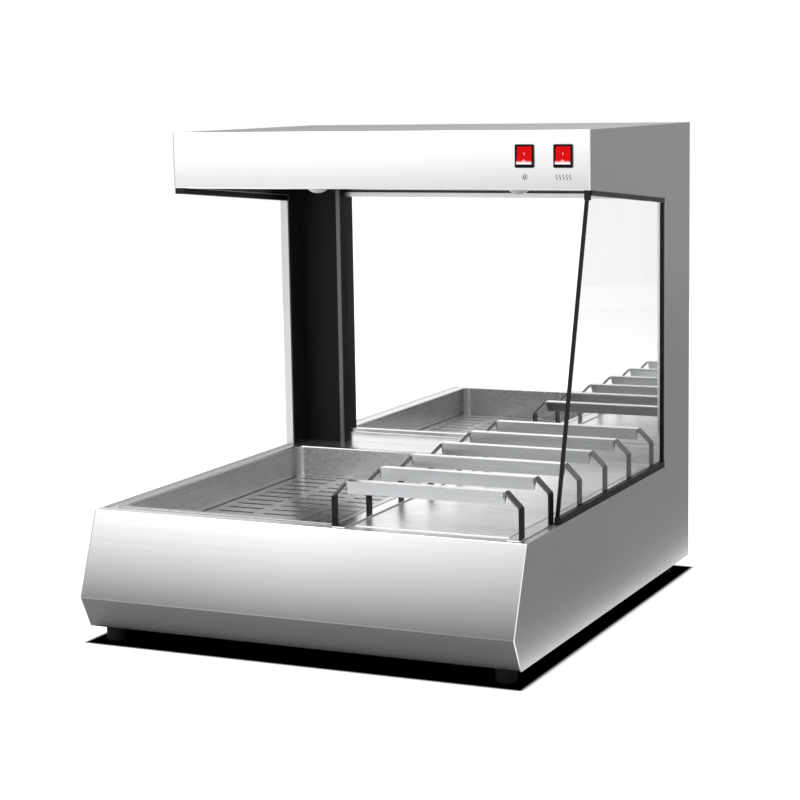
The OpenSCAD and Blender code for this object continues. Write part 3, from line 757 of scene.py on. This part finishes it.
SHELLS = {
    "base_front_panel": "X", "base_bottom": "X", "left_side_panel": "Y", "right_side_panel": "Y",
    "back_panel": "X", "hood_cover": "X", "hood_ceiling": "X", "left_liner": "Y", "right_liner": "Y",
    "deck_frame": "X", "inlet_cup": "X", "wiring_duct": "Z", "rack_floor": "X",
}
SHELL_LOOKS = {
    "base_front_panel": "front_panel", "hood_cover": "hood_sheet",
    "left_side_panel": "left_side_painted_shade", "right_side_panel": "side_panel", "wiring_duct": "duct_black",
    "deck_frame": "bay_painted_light", "rack_floor": "bay_painted_light",
}
TRIMS = {
    "mirror_foot_rail": "X", "mirror_top_trim": "X", "duct_bead": "Z", "glass_bottom_channel": "Y",
    "glass_top_channel": "Y", "glass_front_trim": "Z", "glass_rear_seal": "Z",
    "glass_corner_block": "Y", "rack_rails": "Y", "drain_grate": "Y", "left_edge_trim": "Y",
}
# Node, then its grain axis and how far its edges are rounded, in millimetres.
FITTINGS = {
    "mirror": ("Z", 0.6), "glass_pane": ("Z", 0.5), "left_socket": ("Z", 0.6),
    "right_socket": ("Z", 0.6),
    "tube_holders": ("X", 0.4), "tube_reflectors": ("X", 0.3), "tube_guards": ("X", 0.6),
    "heater_rails": ("Y", 0.3), "terminal_block": ("X", 0.5), "thermal_cutout": ("X", 0.4),
    "pan_heater": ("Y", 0.3), "floor_heater": ("Y", 0.3), "foot_front_left": ("Z", 0.5),
    "foot_front_right": ("Z", 0.5), "foot_rear_left": ("Z", 0.5), "foot_rear_right": ("Z", 0.5),
    "foot_screws": ("Z", 0.3),
}


class WARMER_OT_shells(bpy.types.Operator):
    """Round the folds and edges of the casing's sheet parts"""

    bl_idname = "warmer.shells"
    bl_label = "Casing shells"

    def execute(self, context):
        sheet = context.scene.warmer_sheet
        for node, axis in SHELLS.items():
            piece = formed_copy(node, sheet.fold, sheet.edge)
            look = SHELL_LOOKS.get(node)
            stand_in(piece, node, look, axis)
            if look == "hood_sheet":
                # Painted shade: the upward faces get the darker hood-top copy.
                repaint(piece, finish_for("hood_lid_painted_shade"), lambda face: face.normal.z > 0.9)
        return {"FINISHED"}


class WARMER_OT_trims(bpy.types.Operator):
    """Break the edges of the rails, channels and seals"""

    bl_idname = "warmer.trims"
    bl_label = "Rails, channels and seals"

    def execute(self, context):
        for node, axis in TRIMS.items():
            piece = formed_copy(node, 0, context.scene.warmer_sheet.edge)
            stand_in(piece, node, "bead" if node == "duct_bead" else None, axis)
        return {"FINISHED"}


class WARMER_OT_fittings(bpy.types.Operator):
    """Break the edges of the small fittings and inner parts"""

    bl_idname = "warmer.fittings"
    bl_label = "Fittings and inner parts"

    def execute(self, context):
        for node, (axis, edge) in FITTINGS.items():
            piece = formed_copy(node, 0, edge * MM)
            stand_in(piece, node, None, axis)
            if SLOTS[node] == "clear_glass":
                piece.visible_shadow = False
        return {"FINISHED"}


class WARMER_OT_pan(bpy.types.Operator):
    """Press the chip pan: rounded corners, a filleted floor and a flat rim"""

    bl_idname = "warmer.pan"
    bl_label = "Chip pan"

    def execute(self, context):
        sheet = context.scene.warmer_sheet
        wall = 1.2 * MM
        rim = 9.5 * MM
        rim_round = 2.2 * MM
        lap = rim + wall
        low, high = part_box("fry_pan")
        floor_z = low.z + wall
        pan = add_box(
            "fry_pan_pressed", (low.x + lap, low.y + lap, floor_z),
            (high.x - lap, high.y - lap, high.z),
        )
        pick(pan, lambda face: face.normal.z > 0.9)
        bpy.ops.mesh.delete(type="ONLY_FACE")
        pick(pan, lambda edge: abs(edge_line(edge).z) > 0.9, "EDGE")
        round_picked(sheet.pan_corner, 5)
        pick(pan, lambda edge: edge_middle(edge).z < floor_z + 0.1 * MM, "EDGE")
        round_picked(sheet.pan_floor, 4)
        centre = (low + high) / 2
        centre.z = high.z
        pick(pan, lambda edge: edge.is_boundary, "EDGE")
        extrude_edges((0, 0, 0))
        inner = high - low - Vector((2 * lap, 2 * lap, 0))
        outer = high - low
        growth = (outer.x / inner.x, outer.y / inner.y, 1)
        bpy.ops.transform.resize(value=growth, center_override=centre)
        face_out(pan, inside=True)
        flip_if(pan, lambda face: face.normal.z < -0.9 and face.calc_center_median().z < floor_z + MM)

        def is_brim(edge):
            faces = edge.link_faces
            return len(faces) == 2 and edge_middle(edge).z > high.z - 0.1 * MM and any(
                abs(face.normal.z) < 0.5 for face in faces
            )

        pick(pan, is_brim, "EDGE")
        round_picked(rim_round, 3)
        thicken(pan, wall)
        break_edges(pan, 0.3 * MM)
        mark_edges(pan, 0.5 * MM)
        stand_in(pan, "fry_pan", None, "Y")
        return {"FINISHED"}


class WARMER_OT_arches(bpy.types.Operator):
    """Fold one arch from flat strip and copy it to every place in the rack"""

    bl_idname = "warmer.arches"
    bl_label = "Rack arches"

    def execute(self, context):
        sheet = context.scene.warmer_sheet
        low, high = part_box("divider_1")
        bend = 19 * MM
        cut = 2 * MM
        flange = 8.2 * MM
        strip = 2 * MM
        flange_round = 0.9 * MM
        leg = high.z - bend - low.z
        start_clean()
        bpy.ops.mesh.primitive_plane_add(
            size=1, location=(low.x, (low.y + high.y) / 2, low.z + leg / 2), rotation=(0, -QUARTER, 0),
        )
        bpy.context.object.scale = (leg, high.y - low.y, 1)
        arch = settle("arch_folded")
        pick(arch, lambda edge: edge_middle(edge).z > low.z + leg - 0.1 * MM, "EDGE")
        span = high.x - low.x - 2 * bend - 2 * cut
        for x, z in ((bend, bend), (cut, 0), (span, 0), (cut, 0), (bend, -bend), (0, -leg)):
            extrude_edges((x, 0, z))
        face_out(arch)
        flip_if(arch, lambda face: face.normal.z < -0.9)

        def is_bend(edge):
            return len(edge.link_faces) == 2 and edge.calc_face_angle(0) > math.radians(20)

        pick(arch, is_bend, "EDGE")
        round_picked(sheet.bend_painted_reflection, 3)
        middle_x = (low.x + high.x) / 2

        def is_front(edge):
            middle = edge_middle(edge)
            return middle.y < low.y + 0.1 * MM and abs(middle.x - middle_x) < MM and edge.is_boundary

        pick(arch, is_front, "EDGE")
        extrude_edges((0, 0, -flange))

        def is_flange_fold(edge):
            middle = edge_middle(edge)
            central = abs(middle.x - middle_x) < MM
            return len(edge.link_faces) == 2 and central and middle.z > high.z - 0.1 * MM

        pick(arch, is_flange_fold, "EDGE")
        round_picked(flange_round, 2)
        face_out(arch)
        flip_if(arch, lambda face: face.normal.z < -0.9)
        thicken(arch, strip)
        break_edges(arch, 0.25 * MM)
        mark_edges(arch, 0.4 * MM)
        arches = [arch]
        for number in range(2, 7):
            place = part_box("divider_%d" % number)[0]
            arches.append(copied(arch, "arch_folded_%d" % number, (0, place.y - low.y, 0)))
        arch.name = "arch_folded_1"
        half = span / 2 + cut - 0.2 * MM
        # Painted reflections: the front-facing and lower faces get a grey steel, the bends a darker
        # grey and the legs a near-black one.
        looks = (
            ("front_painted_reflection", "X", lambda face: face.normal.y < -0.7 or face.center.z < high.z - MM),
            ("bend_painted_reflection", "X", lambda face: abs(face.center.x - middle_x) > half),
            ("leg_painted_reflection", "Z", lambda face: face.center.z < high.z - bend),
        )
        for number, piece in enumerate(arches, 1):
            node = "divider_%d" % number
            stand_in(piece, node)
            for look, axis, test in looks:
                repaint(piece, finish_for(look, axis), test)
        return {"FINISHED"}


class WARMER_OT_switches(bpy.types.Operator):
    """Make the two switch housings, and the rockers with their raised marks"""

    bl_idname = "warmer.switches"
    bl_label = "Rocker switches"

    def execute(self, context):
        corner = context.scene.warmer_fitting.bezel_corner
        bezel = 2 * MM
        frame_width = 2.05 * MM
        well = 16 * MM
        step_in = 1.35 * MM
        tag_half = Vector((3, 0, 0.4)) * MM
        tag_length = 9 * MM
        for key in ("light", "heat"):
            node = key + "_switch_body"
            low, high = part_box(node)
            front = low.y + bezel
            body = add_box(node + "_moulded", low, (high.x, front, high.z))
            pick(body, lambda edge: abs(edge_line(edge).y) > 0.9, "EDGE")
            round_picked(corner, 4)
            pick(body, lambda face: face.normal.y < -0.9)
            bpy.ops.mesh.inset(thickness=frame_width)
            extrude_faces((0, well, 0))
            behind = front + 0.1 * MM
            pick(body, lambda face: face.normal.y > 0.9 and face.calc_center_median().y < behind)
            bpy.ops.mesh.inset(thickness=step_in)
            extrude_faces((0, high.y - front - tag_length + MM, 0))
            break_edges(body, 0.35 * MM)
            pieces = [body]
            middle = (low + high) / 2
            for rise in (-8, 0, 8):
                z = middle.z + rise * MM
                root = Vector((middle.x, high.y - tag_length, z))
                tag = add_box("tag", root - tag_half, Vector((middle.x, high.y, z)) + tag_half)
                break_edges(tag, 0.15 * MM)
                pieces.append(tag)
            body = joined(node + "_moulded", pieces)
            mark_edges(body, 0.5 * MM)
            stand_in(body, node)
            self.make_rocker(key + "_rocker")
        return {"FINISHED"}

    def make_rocker(self, node):
        rocker = formed_copy(node, 0, 0.6 * MM)
        stand_in(rocker, node)
        low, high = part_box(node)
        x = (low.x + high.x) / 2
        least = 60 * MM * MM
        faces = [f for f in rocker.data.polygons if f.normal.y < -0.8 and f.area > least]
        upper, lower = sorted(faces, key=lambda face: -face.center.z)[:2]
        dash_z = upper.center.z - 3.5 * MM
        dash_half = Vector((0.25, 0, 1.3)) * MM
        dash = add_box(
            "dash", Vector((x, upper.center.y - 0.12 * MM, dash_z)) - dash_half,
            Vector((x, upper.center.y + 0.3 * MM, dash_z)) + dash_half,
        )
        break_edges(dash, 0.1 * MM)
        ring = add_rod("ring", (0, 0, 0), 1.8 * MM, 0.4 * MM, "Y", 32, "NOTHING")
        thicken(ring, 0.45 * MM)
        break_edges(ring, 0.1 * MM)
        lean = Vector((0, -1, 0)).rotation_difference(lower.normal).to_matrix().to_4x4()
        drop = 2.0 * MM
        place = lower.center + Vector((0, drop * lower.normal.z / lower.normal.y, -drop))
        ring.data.transform(Matrix.Translation((x, place.y, place.z)) @ lean)
        marks = joined(node + "_marks", [dash, ring])
        mark_edges(marks, 0.2 * MM)
        finish_piece(marks, finish_for("white_print"), BODY_OF[node])


class WARMER_OT_symbols(bpy.types.Operator):
    """Print a lamp symbol and heat waves under the switches"""

    bl_idname = "warmer.symbols"
    bl_label = "Printed symbols"

    def execute(self, context):
        line = context.scene.warmer_fitting.symbol_line
        face_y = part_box("hood_cover")[0].y
        ink = 0.08 * MM
        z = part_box("light_switch_body")[0].z - 11.5 * MM

        def middle_x(node):
            low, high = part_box(node)
            return (low.x + high.x) / 2

        x = middle_x("light_switch_body")
        ring = add_rod("ring", (x, face_y, z), 2.1 * MM, 2 * ink, "Y", 32, "NOTHING")
        thicken(ring, line)
        parts = [ring]
        rays = 8
        for step in range(rays):
            ray = add_box(
                "ray", (x - line / 2, face_y - ink, z + 2.8 * MM),
                (x + line / 2, face_y + ink, z + 4.2 * MM),
            )
            turn_about(ray, step * math.tau / rays, (x, face_y, z))
            break_edges(ray, 0.03 * MM, 1)
            parts.append(ray)
        lamp = joined("lamp_symbol", parts)
        middle = middle_x("heat_switch_body")
        waves = []
        for place in (-9, -4.5, 0, 4.5, 9):
            waves.append(self.wave(middle + place * MM, face_y, z, line, ink))
        heat = joined("heat_symbol", waves)
        for piece in (lamp, heat):
            finish_piece(piece, finish_for("black_plastic"), BODY_OF["hood_cover"])
        return {"FINISHED"}

    def wave(self, x, y, z, line, ink):
        """One upright wavy line, drawn by extruding a short edge upwards."""
        start_clean()
        rise = 0.7 * MM
        sway = 1.1 * MM
        bpy.ops.mesh.primitive_plane_add(
            size=1, location=(x, y - ink, z - 3.5 * MM + rise / 2), rotation=(QUARTER, 0, 0),
        )
        bpy.context.object.scale = (line, rise, 1)
        wave = settle("wave")
        pick(wave, lambda edge: edge_middle(edge).z > z - 3.5 * MM + 0.9 * rise, "EDGE")
        for step in range(9):
            swing = math.sin((step + 1) * math.tau / 8) - math.sin(step * math.tau / 8)
            extrude_edges((swing * sway, 0, rise))
        bpy.ops.object.mode_set(mode="OBJECT")
        thicken(wave, 2 * ink)
        return wave


class WARMER_OT_lamps(bpy.types.Operator):
    """Blow the lamp globes and cut their threaded caps"""

    bl_idname = "warmer.lamps"
    bl_label = "Lamps"

    def execute(self, context):
        neck_r = 8.8 * MM
        cap_r = 6.9 * MM
        cap_h = 20 * MM
        turns = 6
        root = 0.93
        for side in ("left", "right"):
            node = side + "_bulb"
            low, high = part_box(node)
            radius = (high.x - low.x) / 2
            centre = Vector(((low.x + high.x) / 2, (low.y + high.y) / 2, low.z + radius))
            start_clean()
            bpy.ops.mesh.primitive_uv_sphere_add(
                segments=48, ring_count=28, radius=radius, location=centre,
            )
            globe = settle(node + "_blown")
            neck_z = centre.z + 0.84 * radius
            pick(globe, lambda face: face.calc_center_median().z > neck_z)
            bpy.ops.mesh.delete(type="FACE")
            pick(globe, lambda edge: edge.is_boundary, "EDGE")
            cap_z = high.z - cap_h
            ring = [edge_middle(e) for e in bmesh.from_edit_mesh(globe.data).edges if e.select]
            rim_z = ring[0].z
            rim_r = (ring[0] - Vector((centre.x, centre.y, rim_z))).length
            self.grow(centre, neck_r / rim_r, (cap_z - rim_z) * 0.45)
            self.grow(centre, 1.0, (cap_z - rim_z) * 0.55)
            self.grow(centre, cap_r / neck_r, 0)
            pitch = 17 * MM / (2 * turns)
            for turn in range(turns):
                self.grow(centre, root, pitch)
                self.grow(centre, 1 / root, pitch)
            self.grow(centre, 0.55, 2 * MM)
            self.grow(centre, 0.9, 0.9 * MM)
            bpy.ops.mesh.edge_face_add()
            face_out(globe)
            bpy.ops.object.mode_set(mode="OBJECT")
            stand_in(globe, node)
            plated = finish_for("bright_steel", "Z")
            repaint(globe, plated, lambda face: face.center.z > cap_z + 0.1 * MM)
        return {"FINISHED"}

    def grow(self, centre, scale, rise):
        extrude_edges((0, 0, rise))
        bpy.ops.transform.resize(value=(scale, scale, 1), center_override=centre)


class WARMER_OT_heaters(bpy.types.Operator):
    """Draw the quartz tubes and wind the wire inside them"""

    bl_idname = "warmer.heaters"
    bl_label = "Heater tubes"

    def execute(self, context):
        turns = context.scene.warmer_fitting.coil_turns
        low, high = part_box("heater_tubes")
        radius = (high.z - low.z) / 2
        length = high.x - low.x
        z = (low.z + high.z) / 2
        tubes = []
        coils = []
        for y in (low.y + radius, high.y - radius):
            tube = add_rod("tube", ((low.x + high.x) / 2, y, z), radius, length, "X", 32, "NOTHING")
            thicken(tube, 1.0 * MM)
            break_edges(tube, 0.2 * MM)
            tubes.append(tube)
            start_clean()
            inset = 12 * MM
            bpy.ops.mesh.primitive_circle_add(
                vertices=6, radius=0.45 * MM, location=(low.x + inset, y, z), rotation=(QUARTER, 0, 0),
            )
            coil = bpy.context.object
            coil.data.transform(Matrix.Translation((0, 3.4 * MM, 0)))
            bpy.ops.object.transform_apply(location=False, rotation=True, scale=True)
            modify(
                coil, "SCREW", axis="X", angle=math.tau, steps=12, render_steps=12, iterations=turns,
                screw_offset=(length - 2 * inset) / turns, use_merge_vertices=True,
            )
            coils.append(settle("coil"))
        tubes = joined("heater_tubes_drawn", tubes)
        stand_in(tubes, "heater_tubes")
        coils = joined("heater_coils", coils)
        take_up(coils)
        bpy.ops.object.mode_set(mode="EDIT")
        face_out(coils)
        bpy.ops.object.mode_set(mode="OBJECT")
        finish_piece(coils, finish_for("bright_steel"), BODY_OF["heater_tubes"])
        return {"FINISHED"}


class WARMER_OT_screws(bpy.types.Operator):
    """Turn one cross-head screw and set a copy in each hole of the back"""

    bl_idname = "warmer.screws"
    bl_label = "Back screws"

    def execute(self, context):
        low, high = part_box("back_screws")
        head_r = 3.8 * MM
        head_h = 1.8 * MM
        cross = (2.3 * MM, 0.55 * MM)
        cross_depth = 1.2 * MM
        x = high.x - head_r
        z = high.z - head_r
        outer_y = high.y
        head = add_rod("head", (x, outer_y - head_h / 2, z), head_r, head_h, "Y", 32)
        pick(head, lambda edge: edge_middle(edge).y > outer_y - 0.1 * MM, "EDGE")
        round_picked(1.1 * MM, 4)
        bpy.ops.object.mode_set(mode="OBJECT")
        for wide, tall in (cross, cross[::-1]):
            cutter = add_box(
                "cutter", (x - wide, outer_y - cross_depth, z - tall),
                (x + wide, outer_y + MM, z + tall),
            )
            modify(head, "BOOLEAN", object=cutter, operation="DIFFERENCE", solver="EXACT")
            bpy.data.objects.remove(cutter)
        length = outer_y - head_h - low.y
        shank = add_rod("shank", (x, low.y + length / 2, z), 2 * MM, length, "Y", 20)
        pick(shank, lambda edge: edge_middle(edge).y < low.y + 0.1 * MM, "EDGE")
        round_picked(0.6 * MM, 2)
        bpy.ops.object.mode_set(mode="OBJECT")
        screw = joined("screw", [head, shank])
        places = []
        rows = 5
        rise = (high.z - low.z - 2 * head_r) / (rows - 1)
        for across in (0, low.x - high.x + 2 * head_r):
            for row in range(rows):
                places.append((across, 0, -row * rise))
        screws = [screw] + [copied(screw, "screw_%d" % n, move) for n, move in enumerate(places[1:])]
        screws = joined("back_screws_turned", screws)
        stand_in(screws, "back_screws", None, "Z")
        return {"FINISHED"}


class WARMER_OT_gland(bpy.types.Operator):
    """Add grip ribs round the cord gland's cap"""

    bl_idname = "warmer.gland"
    bl_label = "Cord gland"

    def execute(self, context):
        gland = formed_copy("cord_gland", 0, 0.4 * MM)
        low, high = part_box("cord_gland")
        x = (low.x + high.x) / 2
        z = (low.z + high.z) / 2
        ribs = []
        grips = 18
        for step in range(grips):
            rib = add_box(
                "rib", (x - 0.5 * MM, high.y - 14 * MM, z + 8.6 * MM),
                (x + 0.5 * MM, high.y - 3.5 * MM, z + 9.7 * MM),
            )
            break_edges(rib, 0.25 * MM)
            turn_about(rib, step * math.tau / grips, (x, 0, z))
            ribs.append(rib)
        gland = joined("cord_gland_ribbed", [gland] + ribs)
        mark_edges(gland, 0.4 * MM)
        stand_in(gland, "cord_gland")
        return {"FINISHED"}


class WARMER_OT_kept_parts(bpy.types.Operator):
    """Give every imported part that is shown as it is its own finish"""

    bl_idname = "warmer.kept_parts"
    bl_label = "Parts shown as packed"

    def execute(self, context):
        for node, part in frame["nodes"].items():
            if part.hide_render:
                continue
            part.data.materials.clear()
            part.data.materials.append(finish_for(SLOTS[node]))
        return {"FINISHED"}


class WARMER_OT_stage(bpy.types.Operator):
    """Make the floor, the soft light and the camera"""

    bl_idname = "warmer.stage"
    bl_label = "Studio"

    def execute(self, context):
        settings = context.scene.warmer_stage
        make_camera(context.scene, settings)
        make_floor()
        make_surroundings(context.scene)
        make_top_light(settings.key_power)
        context.scene.view_settings.view_transform = "Standard"
        return {"FINISHED"}


def make_camera(scene, settings):
    turn = settings.azimuth
    tilt = settings.elevation
    back = Vector((math.sin(turn) * math.cos(tilt), -math.cos(turn) * math.cos(tilt), math.sin(tilt)))
    right = Vector((math.cos(turn), math.sin(turn), 0))
    up = back.cross(right)
    axes = Matrix((right, up, back)).transposed() @ Matrix.Rotation(settings.roll, 3, "Z")
    start_clean()
    bpy.ops.object.camera_add(location=settings.camera_place, rotation=axes.to_euler())
    camera = bpy.context.object
    camera.name = "camera"
    camera.data.lens = settings.lens
    camera.data.clip_end = 50
    scene.camera = camera


def make_floor():
    """A pale round floor, in deep shade right under the base."""
    start_clean()
    bpy.ops.mesh.primitive_circle_add(vertices=128, radius=4.0, fill_type="NGON")
    floor = settle("studio_floor")
    f = Finish("pale_floor")
    low, high = CAD_BOX
    spill = 9 * MM
    inside = None
    for axis, start, end in ((0, low[0], high[0]), (1, low[1] + 15 * MM, high[1] + 8 * MM)):
        place = f.along(axis)
        for band in (f.spread(place, start - spill, start, 0, 1, True),
                     f.spread(place, end, end + spill, 1, 0, True)):
            inside = band if inside is None else f.math("MULTIPLY", inside, band)
    pale = f.mix(f.noise((3, 3, 3), 2.0), (0.92, 0.92, 0.92), (0.90, 0.90, 0.90))
    # Painted reflection: glossy rays see the floor to the right of the base nearly black, so the right
    # side reflects dark.
    beside = f.spread(f.along(0), high[0] + 20 * MM, high[0] + 60 * MM, 0, 0.84)
    glossy = f.nodes.new("ShaderNodeLightPath").outputs["Is Glossy Ray"]
    pale = f.mix(f.math("MULTIPLY", beside, glossy), pale, (0.0, 0.0, 0.0))
    tone = f.mix(inside, pale, (0.0, 0.0, 0.0))
    f.drive("Base Color", tone)
    f.drive("Emission Color", tone)
    f.set(Roughness=0.9, Specular_IOR_Level=0.0, Emission_Strength=0.55)
    floor.data.materials.append(f.material)


def make_surroundings(scene):
    """Soft light from all round: brightest in front, greyer behind on the right."""
    world = bpy.data.worlds.new("studio_surroundings")
    world.use_nodes = True
    scene.world = world
    nodes = world.node_tree.nodes
    links = world.node_tree.links
    direction = nodes.new("ShaderNodeTexCoord").outputs["Generated"]

    def lobe(towards, start, end):
        """From 0 to 1 as the direction turns towards one way."""
        dot = nodes.new("ShaderNodeVectorMath")
        dot.operation = "DOT_PRODUCT"
        dot.inputs[1].default_value = Vector(towards).normalized()
        links.new(direction, dot.inputs[0])
        ramp = nodes.new("ShaderNodeMapRange")
        ramp.interpolation_type = "SMOOTHSTEP"
        ramp.inputs[1].default_value = start
        ramp.inputs[2].default_value = end
        links.new(dot.outputs["Value"], ramp.inputs[0])
        return ramp.outputs[0]

    def blend(factor, below, level):
        mix = nodes.new("ShaderNodeMix")
        mix.data_type = "RGBA"
        links.new(factor, mix.inputs["Factor"])
        if isinstance(below, float):
            mix.inputs[6].default_value = (below, below, below, 1)
        else:
            links.new(below, mix.inputs[6])
        mix.inputs[7].default_value = (level, level, level, 1)
        return mix.outputs[2]

    level = blend(lobe((0, 0, 1), 0.1, 0.9), 0.55, 0.95)
    level = blend(lobe((-0.3, -1.0, 0.0), 0.55, 0.92), level, 1.25)
    level = blend(lobe((0.55, 0.85, -0.05), 0.55, 0.92), level, 0.30)
    camera_sees = nodes.new("ShaderNodeLightPath").outputs["Is Camera Ray"]
    level = blend(camera_sees, level, 1.0)
    links.new(level, nodes["Background"].inputs["Color"])


def make_top_light(power):
    """A large soft light overhead, a little in front and to the left."""
    start_clean()
    bpy.ops.object.light_add(type="AREA", location=(-0.5, -0.5, 2.4), rotation=(0.25, -0.2, 0))
    light = bpy.context.object
    light.name = "top_light"
    light.data.shape = "DISK"
    light.data.size = 2.2
    light.data.energy = power
    light.visible_camera = False


class WARMER_PT_panel(bpy.types.Panel):
    """Chip warmer"""

    bl_idname = "WARMER_PT_panel"
    bl_label = "Chip warmer"
    bl_space_type = "VIEW_3D"
    bl_region_type = "UI"
    bl_category = "Chip warmer"

    def draw(self, context):
        for group in (context.scene.warmer_sheet, context.scene.warmer_fitting,
                      context.scene.warmer_finish, context.scene.warmer_stage):
            box = self.layout.box()
            for key in group.bl_rna.properties.keys():
                if key not in ("rna_type", "name"):
                    box.prop(group, key)
        for operator in PIECES:
            self.layout.operator(operator.bl_idname)


SETTINGS = {
    "warmer_sheet": WarmerSheetSettings,
    "warmer_fitting": WarmerFittingSettings,
    "warmer_finish": WarmerFinishSettings,
    "warmer_stage": WarmerStageSettings,
}
PIECES = (
    WARMER_OT_stage, WARMER_OT_shells, WARMER_OT_trims, WARMER_OT_fittings, WARMER_OT_pan,
    WARMER_OT_arches, WARMER_OT_switches, WARMER_OT_symbols, WARMER_OT_lamps, WARMER_OT_heaters,
    WARMER_OT_screws, WARMER_OT_gland, WARMER_OT_kept_parts,
)


def register():
    for cls in (*SETTINGS.values(), *PIECES, WARMER_PT_panel):
        bpy.utils.register_class(cls)
    for name, cls in SETTINGS.items():
        setattr(bpy.types.Scene, name, PointerProperty(type=cls))


def unregister():
    for name in SETTINGS:
        delattr(bpy.types.Scene, name)
    for cls in reversed((*SETTINGS.values(), *PIECES, WARMER_PT_panel)):
        bpy.utils.unregister_class(cls)


def main():
    register()
    bpy.ops.warmer.stage()
    bpy.ops.warmer.shells()
    bpy.ops.warmer.trims()
    bpy.ops.warmer.fittings()
    bpy.ops.warmer.pan()
    bpy.ops.warmer.arches()
    bpy.ops.warmer.switches()
    bpy.ops.warmer.symbols()
    bpy.ops.warmer.lamps()
    bpy.ops.warmer.heaters()
    bpy.ops.warmer.screws()
    bpy.ops.warmer.gland()
    bpy.ops.warmer.kept_parts()


if __name__ == "__main__":
    main()
